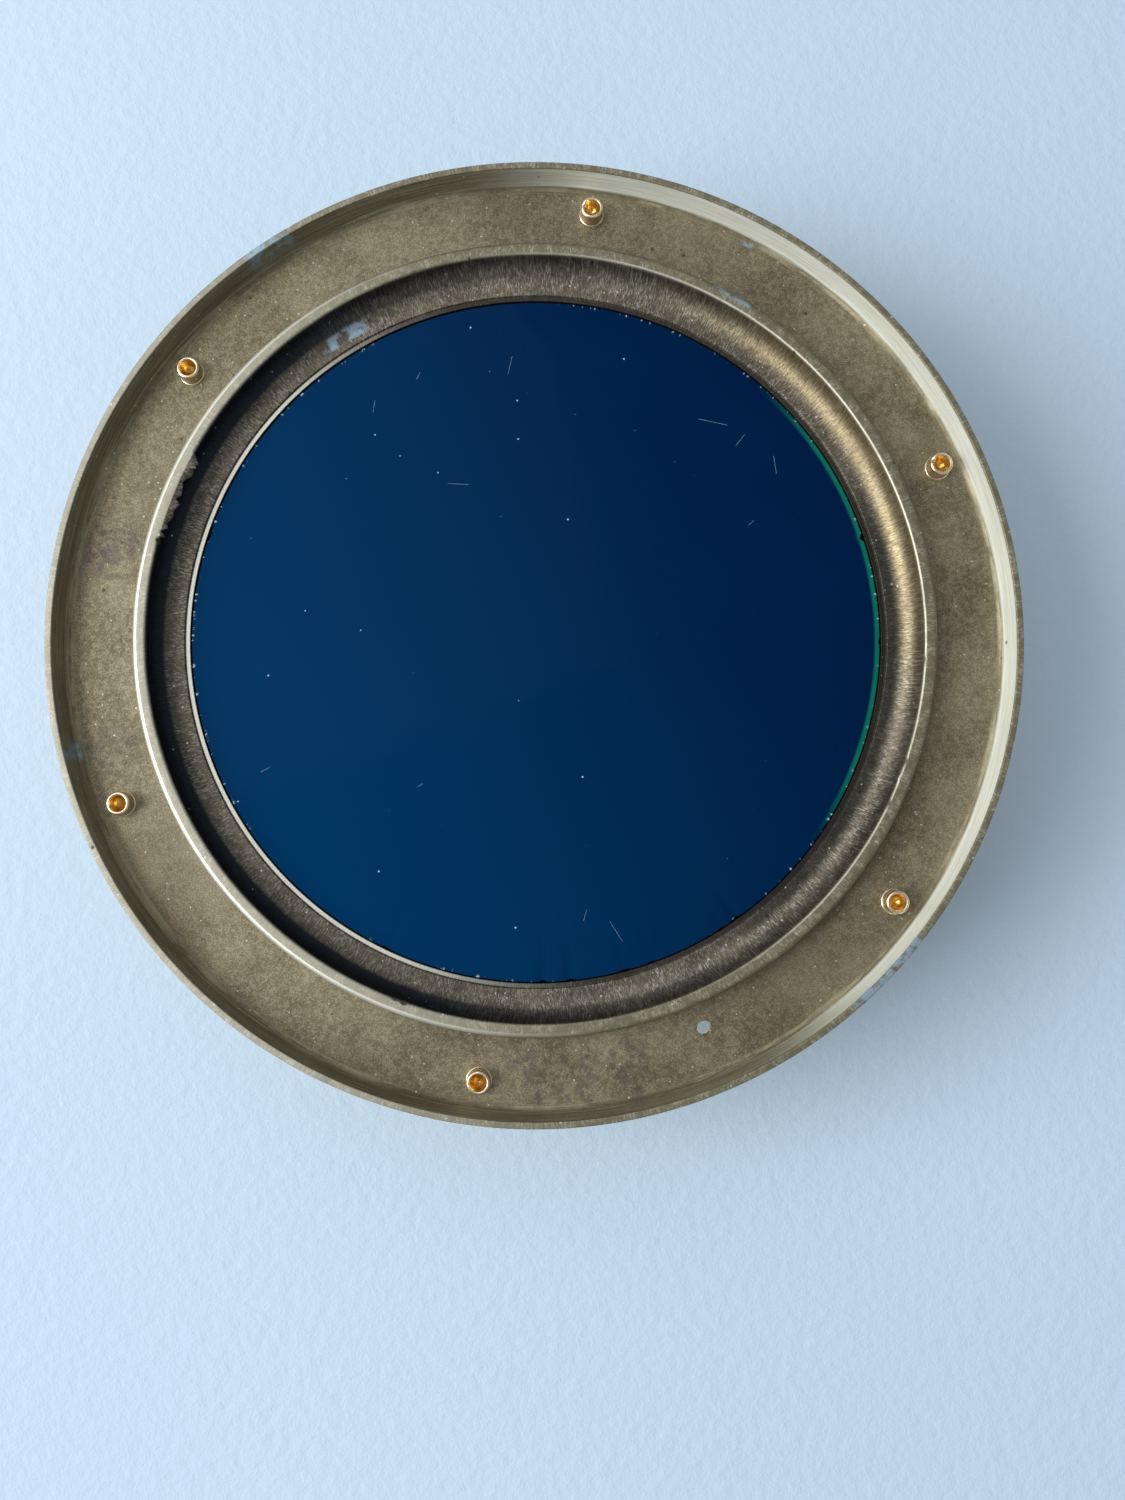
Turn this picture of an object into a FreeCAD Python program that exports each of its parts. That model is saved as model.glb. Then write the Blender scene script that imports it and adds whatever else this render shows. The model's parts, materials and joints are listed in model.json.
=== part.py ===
"""Ship's deck clock: flanged brass case with a blue back glass, hinged bezel and eight-day lever movement.

Frame: the dial faces -Y, the flange's rear rim lies in the plane y = 0 and +Z points to twelve o'clock.
A "depth" is a distance in front of the rear rim plane, so a point at depth d has y = -d.
Every turned piece is a profile of (radius, depth) corners revolved about an axis parallel to Y.
"""
import FreeCAD, Part
import math
import os

import Sketcher
from FreeCAD import Placement, Rotation, Vector

# ---------------------------------------------------------------- driving dimensions, millimetres
DIMENSIONS = {
    # case casting
    "flange_radius": 125, "rim_width": 1.7, "rim_draft": 1.2, "trough_depth": 7, "flange_web": 3,
    "lip_radius": 103, "lip_draft": 0.5, "mouth_radius": 99.5, "wall_radius": 99.2,
    "cove_depth": 7, "cove_radius": 6, "bead_radius": 91.8, "bead_height": 0.5, "pocket_radius": 90.4,
    "ledge_radius": 86.5, "ledge_web": 2.4, "drum_radius": 104, "drum_depth": 49.5, "chamber_radius": 99,
    "dial_shelf_radius": 92, "dial_shelf_web": 3,
    "trough_round": 2.2, "flange_round": 4, "rim_round": 0.3, "lip_outer_round": 1.4, "lip_inner_round": 0.7,
    # rivets and hanging hole
    "rivet_circle": 115.3, "rivet_tail_radius": 3, "rivet_bore_radius": 1.8, "rivet_tail_top": 3.2,
    "rivet_head_radius": 8, "rivet_head_height": 4.5, "hang_circle": 110.2, "hang_radius": 1.9,
    # back glass
    "glass_radius": 90.2, "glass_thick": 3, "glass_recess": 0.4, "gasket_thick": 0.6,
    # bezel
    "bezel_radius": 108, "bezel_rear": 50.6, "bezel_front": 62, "bezel_aperture": 90,
    "bezel_glass_radius": 94, "bezel_glass_thick": 3, "bezel_lip": 3, "retainer_radius": 90.5,
    "retainer_thick": 3, "seal_inner": 100, "seal_outer": 103, "running": 0.05, "gap": 0.3,
    # hinge and latch
    "hinge_x": 112.5, "hinge_depth": 50.5, "knuckle_radius": 3.5, "knuckle_half": 4.8, "ear_inner": 5,
    "ear_outer": 13, "pin_radius": 1.5, "pin_half": 14.5, "block_rear": 35.5, "block_face": 110.5,
    "latch_x": 112.8, "latch_z": 14,
    "stud_radius": 2.2, "dog_rear": 55.2, "dog_thick": 2.5, "dog_reach": 18, "dog_half_width": 3.6,
    "knob_radius": 5.4, "knob_front": 61.5,
    # plates
    "plate_radius": 60, "plate_thick": 2, "back_plate_rear": 16, "front_plate_rear": 37,
    "dial_bed_rear": 43.5, "dial_bed_radius": 98.6, "pillar_circle": 54, "pillar_radius": 3.5,
    "spacer_circle": 52, "spacer_radius": 3.5, "dial_rear": 45.5, "dial_thick": 1, "surround_inner": 91,
    # hands
    "hour_hand_rear": 48.7, "minute_hand_rear": 50.7, "seconds_hand_rear": 47.4, "hand_thick": 0.7,
    "hour_length": 56, "minute_length": 84, "seconds_length": 12.5,
    # train
    "barrel_z": -33.62, "middle_x": -18, "middle_z": -13.5, "third_x": -6.73, "third_z": 21.47,
    "fourth_z": 38, "escape_x": 14.36, "escape_z": 31.31, "lever_x": 19.3, "lever_z": 27.17,
    "balance_x": 27.73, "balance_z": 20.1, "motion_x": 12.124, "motion_z": -7, "click_x": 0.5,
    "click_z": -22.1, "bed_screw_circle": 95.3, "dial_screw_circle": 87.5,
    "barrel_radius": 20, "barrel_top": 29, "spring_thick": 0.45, "spring_turns": 9,
    "balance_radius": 9.5, "hairspring_radius": 4.4, "hairspring_turns": 7,
}

doc = FreeCAD.newDocument("deck_clock")
dim = doc.addObject("Spreadsheet::Sheet", "dim")
for row, (alias, value) in enumerate(DIMENSIONS.items(), start=1):
    dim.set(f"A{row}", alias)
    dim.set(f"B{row}", str(value))
    dim.setAlias(f"B{row}", alias)
doc.recompute()

FRONTWARD = Rotation(Vector(1, 0, 0), 90)
NODES = []


# ---------------------------------------------------------------- general helpers
def size(text):
    """Value of an expression on the sheet, in millimetres."""
    value = dim.evalExpression(text)
    return float(getattr(value, "Value", value))


def node(thing, name):
    """Mark a document object as a finished sub-part whose Label names its file."""
    thing.Label = name
    NODES.append(thing)
    return thing


def polar(radius, clock_angle):
    """Expressions for x and z on a circle, with the angle turning clockwise from twelve o'clock."""
    return f"{radius} * sin({clock_angle})", f"{radius} * cos({clock_angle})"


def place_by_sheet(thing, across="0", up="0"):
    thing.setExpression("Placement.Base.x", across)
    thing.setExpression("Placement.Base.z", up)


def turned(name, corners, across="0", up="0"):
    """A body revolved about the Y direction from (radius, depth) corners given as sheet expressions."""
    body = doc.addObject("PartDesign::Body", name)
    sketch = body.newObject("Sketcher::SketchObject", name + "_profile")
    plane = next(p for p in body.Origin.OriginFeatures if p.Role == "XY_Plane")
    sketch.AttachmentSupport = [(plane, "")]
    sketch.MapMode = "FlatFace"
    points = [Vector(size(radius), -size(depth), 0) for radius, depth in corners]
    for start, end in zip(points, points[1:] + points[:1]):
        sketch.addGeometry(Part.LineSegment(start, end))
    count = len(points)
    for i in range(count):
        sketch.addConstraint(Sketcher.Constraint("Coincident", i, 2, (i + 1) % count, 1))
    for i, (radius, depth) in enumerate(corners):
        across_rule = sketch.addConstraint(Sketcher.Constraint("DistanceX", -1, 1, i, 1, points[i].x))
        sketch.setExpression(f"Constraints[{across_rule}]", radius)
        depth_rule = sketch.addConstraint(Sketcher.Constraint("DistanceY", i, 1, -1, 1, -points[i].y))
        sketch.setExpression(f"Constraints[{depth_rule}]", depth)
    revolution = body.newObject("PartDesign::Revolution", name + "_turn")
    revolution.Profile = sketch
    revolution.ReferenceAxis = (sketch, ["V_Axis"])
    revolution.Angle = 360
    body.Tip = revolution
    place_by_sheet(body, across, up)
    return body


def round_edges(body, rounding, rings):
    """Fillet the circular edges of a turned body that have the given (radius, depth)."""
    doc.recompute()
    base = body.Tip
    names = []
    for ring_radius, ring_depth in rings:
        for number, edge in enumerate(base.Shape.Edges, start=1):
            curve = edge.Curve
            if not isinstance(curve, Part.Circle):
                continue
            radius_error = abs(curve.Radius - size(ring_radius))
            depth_error = abs(curve.Center.y + size(ring_depth))
            if max(radius_error, depth_error) < 0.01:
                names.append(f"Edge{number}")
    if len(names) != len(rings):
        raise SystemExit(f"{body.Name}: found {len(names)} of {len(rings)} edges to round")
    fillet = body.newObject("PartDesign::Fillet", f"{body.Name}_round")
    fillet.Base = (base, names)
    fillet.setExpression("Radius", rounding)
    body.Tip = fillet
    doc.recompute()


def rod(name, radius, start_depth, end_depth, across="0", up="0"):
    """A cylinder parallel to Y between two depths."""
    cylinder = doc.addObject("Part::Cylinder", name)
    cylinder.Placement = Placement(Vector(0, 0, 0), FRONTWARD)
    cylinder.setExpression("Radius", radius)
    cylinder.setExpression("Height", f"({end_depth}) - ({start_depth})")
    cylinder.setExpression("Placement.Base.y", f"-({start_depth})")
    place_by_sheet(cylinder, across, up)
    return cylinder


def upright(name, radius, low, high, across, depth):
    """A cylinder parallel to Z."""
    cylinder = doc.addObject("Part::Cylinder", name)
    cylinder.setExpression("Radius", radius)
    cylinder.setExpression("Height", f"({high}) - ({low})")
    cylinder.setExpression("Placement.Base.y", f"-({depth})")
    place_by_sheet(cylinder, across, low)
    return cylinder


def block(name, x_low, x_high, rear, front, z_low, z_high):
    """A box between two depths."""
    box = doc.addObject("Part::Box", name)
    box.setExpression("Length", f"({x_high}) - ({x_low})")
    box.setExpression("Width", f"({front}) - ({rear})")
    box.setExpression("Height", f"({z_high}) - ({z_low})")
    box.setExpression("Placement.Base.y", f"-({front})")
    place_by_sheet(box, x_low, z_low)
    return box


def group(name, things):
    compound = doc.addObject("Part::Compound", name)
    compound.Links = things
    return compound


def joined(name, things):
    fusion = doc.addObject("Part::MultiFuse", name)
    fusion.Shapes = things
    return fusion


def cut(name, base, tool):
    difference = doc.addObject("Part::Cut", name)
    difference.Base = base
    difference.Tool = tool
    return difference


def shaped(name, shape, depth=0.0, across=0.0, up=0.0, turn=0.0):
    """A free shape drawn in its own XY plane, stood up to face the front at a depth."""
    feature = doc.addObject("Part::Feature", name)
    feature.Shape = shape
    spin = Rotation(Vector(0, 0, 1), turn)
    feature.Placement = Placement(Vector(across, -depth, up), FRONTWARD.multiply(spin))
    return feature


def prism(wires, thickness):
    """A plate from an outer wire and any hole wires."""
    return Part.makeFace(wires, "Part::FaceMakerBullseye").extrude(Vector(0, 0, thickness))


def ring_wire(radius, centre=Vector(0, 0, 0)):
    return Part.Wire(Part.makeCircle(radius, centre))


# ---------------------------------------------------------------- gears
PRESSURE = math.radians(20)
TOOTH_SHARE = 0.40
ADDENDUM = 0.75
DEDENDUM = 1.2


def involute(angle):
    return math.tan(angle) - angle


def at_angle(radius, angle):
    return Vector(radius * math.cos(angle), radius * math.sin(angle), 0)


def gear_wire(teeth, module):
    """Closed outline of a spur gear with one tooth centred on the local X direction."""
    pitch = module * teeth / 2
    base = pitch * math.cos(PRESSURE)
    tip = pitch + ADDENDUM * module
    root = pitch - DEDENDUM * module
    step = 2 * math.pi / teeth
    half = TOOTH_SHARE * step / 2

    def half_angle(radius):
        if radius <= base:
            return half + involute(PRESSURE)
        return half + involute(PRESSURE) - involute(math.acos(base / radius))

    foot = max(root, base)
    middle = (foot + tip) / 2
    root_half = min(half_angle(foot), 0.9 * half) if root < base else half_angle(foot)
    edges = []
    for i in range(teeth):
        axis = i * step
        right = [at_angle(r, axis - half_angle(r)) for r in (foot, middle, tip)]
        left = [at_angle(r, axis + half_angle(r)) for r in (tip, middle, foot)]
        root_right = at_angle(root, axis - root_half)
        root_left = at_angle(root, axis + root_half)
        next_root = at_angle(root, axis + step - root_half)
        if root < base:
            edges.append(Part.makeLine(root_right, right[0]))
        edges.append(Part.Arc(*right).toShape())
        edges.append(Part.makeLine(right[2], left[0]))
        edges.append(Part.Arc(*left).toShape())
        if root < base:
            edges.append(Part.makeLine(left[2], root_left))
            edges.append(Part.makeLine(root_left, next_root))
        else:
            following = at_angle(foot, axis + step - half_angle(foot))
            edges.append(Part.makeLine(left[2], following))
    return Part.Wire(edges)


def window_wire(inner, outer, middle_angle, half_span):
    """Outline of one opening between two spokes."""
    low = middle_angle - half_span
    high = middle_angle + half_span
    taper = half_span * 0.75
    edges = [
        Part.Arc(at_angle(outer, low), at_angle(outer, middle_angle), at_angle(outer, high)).toShape(),
        Part.makeLine(at_angle(outer, high), at_angle(inner, middle_angle + taper)),
        Part.Arc(
            at_angle(inner, middle_angle + taper),
            at_angle(inner, middle_angle),
            at_angle(inner, middle_angle - taper),
        ).toShape(),
        Part.makeLine(at_angle(inner, middle_angle - taper), at_angle(outer, low)),
    ]
    return Part.Wire(edges)


def wheel_shape(teeth, module, thickness, bore, spokes=5):
    """A crossed-out wheel: toothed rim, spokes and a bored hub."""
    pitch = module * teeth / 2
    rim_inner = pitch - 2.6 * module - 0.6
    hub = bore + 2.2
    wires = [gear_wire(teeth, module), ring_wire(bore)]
    if spokes:
        for i in range(spokes):
            middle = 2 * math.pi * (i + 0.5) / spokes
            wires.append(window_wire(hub, rim_inner, middle, math.pi / spokes * 0.86))
    return prism(wires, thickness)


def mesh_turn(driver_turn, driver_teeth, driver_at, teeth, driven_at):
    """Turn that puts a gap of the second gear on a tooth of the first, both in degrees."""
    line = math.degrees(math.atan2(driven_at[1] - driver_at[1], driven_at[0] - driver_at[0]))
    share = ((line - driver_turn) * driver_teeth / 360) % 1
    return line + 180 - (0.5 - share) * 360 / teeth


# ---------------------------------------------------------------- case
WEB_FRONT = "dim.trough_depth + dim.flange_web"
STEP_DEPTH = "dim.cove_depth + dim.bead_height"
GLASS_REAR = STEP_DEPTH + " + dim.glass_recess"
GLASS_FRONT = GLASS_REAR + " + dim.glass_thick"
LEDGE_REAR = GLASS_FRONT + " + dim.gasket_thick"
LEDGE_FRONT = LEDGE_REAR + " + dim.ledge_web"
BED_REAR = "dim.dial_bed_rear"


def make_rivets():
    """Six domed rivets: solid dome in front of the flange, drilled tubular tail standing in the trough."""
    tail = "dim.rivet_tail_radius"
    bore = "dim.rivet_bore_radius"
    head = "dim.rivet_head_radius"
    rivets = []
    for i in range(6):
        across, up = polar("dim.rivet_circle", 30 + 60 * i)
        corners = [
            (bore, "dim.rivet_tail_top"),
            (f"{tail} - 0.5", "dim.rivet_tail_top"),
            (tail, "dim.rivet_tail_top + 0.5"),
            (tail, WEB_FRONT),
            (head, WEB_FRONT),
            (head, f"{WEB_FRONT} + 0.8"),
            (f"{head} * 0.9", f"{WEB_FRONT} + dim.rivet_head_height * 0.5"),
            (f"{head} * 0.65", f"{WEB_FRONT} + dim.rivet_head_height * 0.8"),
            (f"{head} * 0.34", f"{WEB_FRONT} + dim.rivet_head_height * 0.95"),
            ("0", f"{WEB_FRONT} + dim.rivet_head_height"),
            ("0", f"{WEB_FRONT} - 1"),
            (bore, f"{WEB_FRONT} - 2"),
        ]
        rivets.append(turned(f"rivet_{i + 1}", corners, across, up))
    return node(group("rivet_group", rivets), "dome_rivets")


def make_flange():
    """Rear casting: outer rim, trough, inner lip, cove and the seat of the back glass."""
    corners = [
        ("dim.flange_radius", "0"),
        ("dim.flange_radius", WEB_FRONT),
        ("dim.drum_radius", WEB_FRONT),
        ("dim.drum_radius", LEDGE_FRONT),
        ("dim.ledge_radius", LEDGE_FRONT),
        ("dim.ledge_radius", LEDGE_REAR),
        ("dim.pocket_radius", LEDGE_REAR),
        ("dim.pocket_radius", STEP_DEPTH),
        ("dim.bead_radius - 0.2", STEP_DEPTH),
        ("dim.bead_radius", "dim.cove_depth"),
        ("dim.wall_radius", "dim.cove_depth"),
        ("dim.mouth_radius", "0"),
        ("dim.lip_radius", "0"),
        ("dim.lip_radius + dim.lip_draft", "dim.trough_depth"),
        ("dim.flange_radius - dim.rim_width - dim.rim_draft", "dim.trough_depth"),
        ("dim.flange_radius - dim.rim_width", "0"),
    ]
    body = turned("flange_casting", corners)
    trough_ring = ("dim.flange_radius - dim.rim_width - dim.rim_draft", "dim.trough_depth")
    lip_foot = ("dim.lip_radius + dim.lip_draft", "dim.trough_depth")
    rim_rings = [("dim.flange_radius", "0"), ("dim.flange_radius - dim.rim_width", "0")]
    round_edges(body, "dim.trough_round", [trough_ring])
    round_edges(body, "dim.cove_radius", [("dim.wall_radius", "dim.cove_depth")])
    round_edges(body, "dim.flange_round", [("dim.flange_radius", WEB_FRONT)])
    round_edges(body, "1", [("dim.drum_radius", WEB_FRONT), lip_foot])
    round_edges(body, "dim.rim_round", rim_rings)
    round_edges(body, "dim.lip_outer_round", [("dim.lip_radius", "0")])
    round_edges(body, "dim.lip_inner_round", [("dim.mouth_radius", "0")])
    hang_x, hang_z = polar("dim.hang_circle", 0)
    hole_rear = "dim.trough_depth - 1"
    hole_front = f"{WEB_FRONT} + 1"
    hang_tool = rod("hanging_hole_tool", "dim.hang_radius", hole_rear, hole_front, hang_x, hang_z)
    tails = []
    for i in range(6):
        across, up = polar("dim.rivet_circle", 30 + 60 * i)
        tails.append(rod(f"tail_tool_{i + 1}", "dim.rivet_tail_radius", hole_rear, hole_front, across, up))
    node(cut("flange_drilled", body, group("flange_tools", tails + [hang_tool])), "case_flange")


def make_drum(flat_screws, bracket_screws):
    """Front tube of the case, soldered to the flange casting, with the shelf that the dial bed stands on."""
    corners = [
        ("dim.drum_radius", LEDGE_FRONT),
        ("dim.drum_radius", "dim.drum_depth"),
        ("dim.chamber_radius", "dim.drum_depth"),
        ("dim.chamber_radius", BED_REAR),
        ("dim.dial_shelf_radius", BED_REAR),
        ("dim.dial_shelf_radius", f"{BED_REAR} - dim.dial_shelf_web"),
        ("dim.chamber_radius", f"{BED_REAR} - dim.dial_shelf_web - 3"),
        ("dim.chamber_radius", LEDGE_FRONT),
    ]
    tools = group("drum_tools", [flat_screws, bracket_screws])
    node(cut("drum_drilled", turned("drum_tube", corners), tools), "case_drum")


def make_back_glass():
    glass = [
        ("0", GLASS_REAR),
        ("dim.glass_radius", GLASS_REAR),
        ("dim.glass_radius", GLASS_FRONT),
        ("0", GLASS_FRONT),
    ]
    body = turned("back_pane", glass)
    round_edges(body, "0.3", [("dim.glass_radius", GLASS_REAR), ("dim.glass_radius", GLASS_FRONT)])
    node(body, "back_glass")
    gasket = [
        ("dim.ledge_radius + 0.5", GLASS_FRONT),
        ("dim.glass_radius - 0.3", GLASS_FRONT),
        ("dim.glass_radius - 0.3", LEDGE_REAR),
        ("dim.ledge_radius + 0.5", LEDGE_REAR),
    ]
    node(turned("back_pane_gasket", gasket), "back_glass_gasket")


# ---------------------------------------------------------------- bezel, hinge and latch
LIP_REAR = "dim.bezel_front - dim.bezel_lip"
RETAINER_FRONT = LIP_REAR + " - dim.bezel_glass_thick"
RETAINER_REAR = RETAINER_FRONT + " - dim.retainer_thick"


def make_bezel():
    corners = [
        ("dim.bezel_radius", "dim.bezel_rear"),
        ("dim.bezel_radius", "dim.bezel_rear + 7"),
        ("dim.bezel_radius - 2", "dim.bezel_rear + 7.6"),
        ("dim.bezel_radius - 3", "dim.bezel_front - 1.4"),
        ("dim.bezel_radius - 5", "dim.bezel_front"),
        ("dim.bezel_aperture + 5", "dim.bezel_front"),
        ("dim.bezel_aperture + 3", "dim.bezel_front - 1.2"),
        ("dim.bezel_aperture", "dim.bezel_front - 2.2"),
        ("dim.bezel_aperture", LIP_REAR),
        ("dim.bezel_glass_radius + 0.2", LIP_REAR),
        ("dim.bezel_glass_radius + 0.2", "dim.bezel_rear"),
    ]
    body = turned("bezel_casting", corners)
    round_edges(body, "1.2", [("dim.bezel_radius - 5", "dim.bezel_front")])
    flank = ("dim.bezel_radius", "dim.bezel_rear + 7")
    crown = ("dim.bezel_aperture + 5", "dim.bezel_front")
    round_edges(body, "0.8", [flank, crown])
    node(body, "bezel_ring")
    glass = [
        ("0", RETAINER_FRONT),
        ("dim.bezel_glass_radius", RETAINER_FRONT),
        ("dim.bezel_glass_radius", LIP_REAR),
        ("0", LIP_REAR),
    ]
    node(turned("bezel_pane", glass), "bezel_glass")
    retainer = [
        ("dim.retainer_radius", RETAINER_REAR),
        ("dim.bezel_glass_radius + 0.1", RETAINER_REAR),
        ("dim.bezel_glass_radius + 0.1", RETAINER_FRONT),
        ("dim.retainer_radius", RETAINER_FRONT),
    ]
    node(turned("bezel_retainer", retainer), "glass_retaining_ring")
    seal = [
        ("dim.seal_inner", "dim.drum_depth"),
        ("dim.seal_outer", "dim.drum_depth"),
        ("dim.seal_outer", "dim.drum_depth + 0.8"),
        ("dim.seal_inner", "dim.drum_depth + 0.8"),
    ]
    node(turned("front_seal", seal), "bezel_seal")


def bracket_screw(name, across, up, direction):
    """A cheese-head screw lying along X, its head on the outer side of a bracket."""
    head = doc.addObject("Part::Cylinder", name + "_head")
    shank = doc.addObject("Part::Cylinder", name + "_shank")
    turn = Rotation(Vector(0, 1, 0), 90 * direction)
    for cylinder, radius, length, start in ((head, "2.2", "1.4", "0"), (shank, "1.2", "9.5", "-9.5")):
        cylinder.Placement = Placement(Vector(0, 0, 0), turn)
        cylinder.setExpression("Radius", radius)
        cylinder.setExpression("Height", length)
        cylinder.setExpression("Placement.Base.x", f"{across} + {direction} * ({start})")
        cylinder.setExpression("Placement.Base.y", "-(dim.block_rear + 5)")
        cylinder.setExpression("Placement.Base.z", up)
    return joined(name, [head, shank])


def make_bracket_screws():
    """Two screws hold the hinge bracket on the drum and two hold the latch bracket."""
    screws = [
        bracket_screw("hinge_screw_low", "-dim.block_face", "-8", -1),
        bracket_screw("hinge_screw_high", "-dim.block_face", "8", -1),
        bracket_screw("latch_screw_low", "dim.block_face", "dim.latch_z - 3.5", 1),
        bracket_screw("latch_screw_high", "dim.block_face", "dim.latch_z + 3.5", 1),
    ]
    return node(group("bracket_screw_group", screws), "bracket_screws")


BLOCK_FRONT = "dim.hinge_depth - 3.8"


def make_hinge(screws):
    """Bracket with two ears on the drum, the pin through them and the bezel's knuckle between them."""
    axis_x = "-dim.hinge_x"
    depth = "dim.hinge_depth"
    inner = "dim.ear_inner"
    outer = "dim.ear_outer"
    half = "dim.knuckle_half"
    solids = [block("hinge_base", "-dim.block_face", "-101", "dim.block_rear", BLOCK_FRONT, f"-{outer}", outer)]
    for side, low, high in (("low", f"-{outer}", f"-{inner}"), ("high", inner, outer)):
        outside = "-dim.hinge_x - dim.knuckle_radius"
        solids.append(block(f"ear_web_{side}", outside, "-109", f"{depth} - 8", depth, low, high))
        solids.append(upright(f"ear_{side}", "dim.knuckle_radius", low, high, axis_x, depth))
    drum = rod("hinge_drum_tool", "dim.drum_radius", "0", "dim.drum_depth + 10")
    pin_hole = upright("hinge_pin_tool", "dim.pin_radius", "-20", "20", axis_x, depth)
    tools = group("hinge_tools", [drum, pin_hole, screws])
    node(cut("hinge_cut", joined("hinge_rough", solids), tools), "hinge_bracket")
    node(upright("pin", "dim.pin_radius", "-dim.pin_half", "dim.pin_half", axis_x, depth), "hinge_pin")
    knuckle = upright("knuckle", "dim.knuckle_radius", f"-{half}", half, axis_x, depth)
    arm_front = f"{depth} + dim.knuckle_radius"
    arm = block("knuckle_arm", axis_x, "-106", "dim.bezel_rear", arm_front, f"-{half}", half)
    bore = upright("knuckle_bore", "dim.pin_radius + dim.running", "-20", "20", axis_x, depth)
    ring = rod("knuckle_ring_tool", "dim.bezel_radius", "0", "dim.bezel_front + 10")
    tools = group("knuckle_tools", [bore, ring])
    node(cut("knuckle_cut", joined("knuckle_rough", [knuckle, arm]), tools), "bezel_knuckle")


def make_latch(screws):
    """Bracket with the stud that the dog turns on, and the catch that the dog holds on the bezel."""
    base = block("latch_base", "101", "dim.block_face", "dim.block_rear", BLOCK_FRONT, "7", "21")
    head = block("latch_head", "110", "117", "dim.block_rear + 8", BLOCK_FRONT, "9", "19")
    drum = rod("latch_drum_tool", "dim.drum_radius", "0", "dim.drum_depth + 10")
    stud_rear = "dim.hinge_depth - 8"
    stud_front = "dim.knob_front - 2"
    stud = rod("stud", "dim.stud_radius", stud_rear, stud_front, "dim.latch_x", "dim.latch_z")
    tools = group("latch_tools", [drum, stud, screws])
    node(cut("latch_cut", joined("latch_rough", [base, head]), tools), "latch_bracket")
    node(stud, "latch_stud")
    ear = block("ear_block", "106", "116.5", "dim.bezel_rear + 0.6", "dim.dog_rear - dim.gap", "-5", "5")
    ring = rod("ear_ring_tool", "dim.bezel_radius", "0", "dim.bezel_front + 10")
    node(cut("ear_cut", ear, ring), "bezel_catch")


def dog_shape(reach, half_width, thickness, bore):
    """A flat finger with round ends, reaching along local Y from its bore."""
    left = Vector(-half_width, 0, 0)
    right = Vector(half_width, 0, 0)
    lift = Vector(0, reach - half_width, 0)
    edges = [
        Part.Arc(left, Vector(0, -half_width, 0), right).toShape(),
        Part.makeLine(right, right + lift),
        Part.Arc(right + lift, Vector(0, reach, 0), left + lift).toShape(),
        Part.makeLine(left + lift, left),
    ]
    return prism([Part.Wire(edges), ring_wire(bore)], thickness)


def knob_shape(radius, height, bore, bore_depth, flutes=24):
    """A fluted thumb knob with a blind bore."""
    knob = Part.makeCylinder(radius, height)
    knob = knob.makeChamfer(0.5, [edge for edge in knob.Edges if isinstance(edge.Curve, Part.Circle)])
    for i in range(flutes):
        centre = at_angle(radius + 0.25, 2 * math.pi * i / flutes)
        knob = knob.cut(Part.makeCylinder(0.5, height, centre))
    return knob.cut(Part.makeCylinder(bore, bore_depth))


def make_dog():
    clearance = size("dim.stud_radius + dim.running")
    thickness = size("dim.dog_thick")
    rear = size("dim.dog_rear")
    across = size("dim.latch_x")
    up = size("dim.latch_z")
    finger = dog_shape(size("dim.dog_reach"), size("dim.dog_half_width"), thickness, clearance)
    node(shaped("dog", finger, rear, across, up), "latch_dog")
    height = size("dim.knob_front") - rear - thickness
    knob = knob_shape(size("dim.knob_radius"), height, clearance, height - 1.6)
    node(shaped("knob", knob, rear + thickness, across, up), "latch_knob")


# ---------------------------------------------------------------- plates and dial
BED_FRONT = "dim.dial_rear"
DIAL_FRONT = "dim.dial_rear + dim.dial_thick"
BACK_INNER = "dim.back_plate_rear + dim.plate_thick"
FRONT_OUTER = "dim.front_plate_rear + dim.plate_thick"


def between(height):
    """Depth of a level inside the movement, counted from the back plate's inner face."""
    return size(BACK_INNER) + height


def beyond(height):
    """Depth of a level in the motion work, counted from the front plate's outer face."""
    return size(FRONT_OUTER) + height


def disc(name, radius, rear, front):
    return turned(name, [("0", rear), (radius, rear), (radius, front), ("0", front)])


def flat_head_screw(name, across, up, front, length):
    corners = [
        ("0", front),
        ("2.4", front),
        ("1.3", f"({front}) - 1.1"),
        ("1.3", f"({front}) - {length}"),
        ("0", f"({front}) - {length}"),
    ]
    return turned(name, corners, across, up)


def make_flat_head_screws():
    """Four short screws hold the dial bed on its shelf and three long ones hold the movement behind it."""
    bed_screws = []
    for i in range(4):
        across, up = polar("dim.bed_screw_circle", 45 + 90 * i)
        bed_screws.append(flat_head_screw(f"bed_screw_{i + 1}", across, up, BED_FRONT, "4.4"))
    movement_screws = []
    for i in range(3):
        across, up = polar("dim.spacer_circle", 60 + 120 * i)
        movement_screws.append(flat_head_screw(f"movement_screw_{i + 1}", across, up, BED_FRONT, "8"))
    return node(group("flat_head_group", bed_screws + movement_screws), "flat_head_screws")


def make_spacers(flat_screws):
    spacers = []
    for i in range(3):
        across, up = polar("dim.spacer_circle", 60 + 120 * i)
        spacers.append(rod(f"spacer_{i + 1}", "dim.spacer_radius", FRONT_OUTER, BED_REAR, across, up))
    return node(cut("spacer_cut", group("spacer_group", spacers), flat_screws), "movement_spacers")


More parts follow.
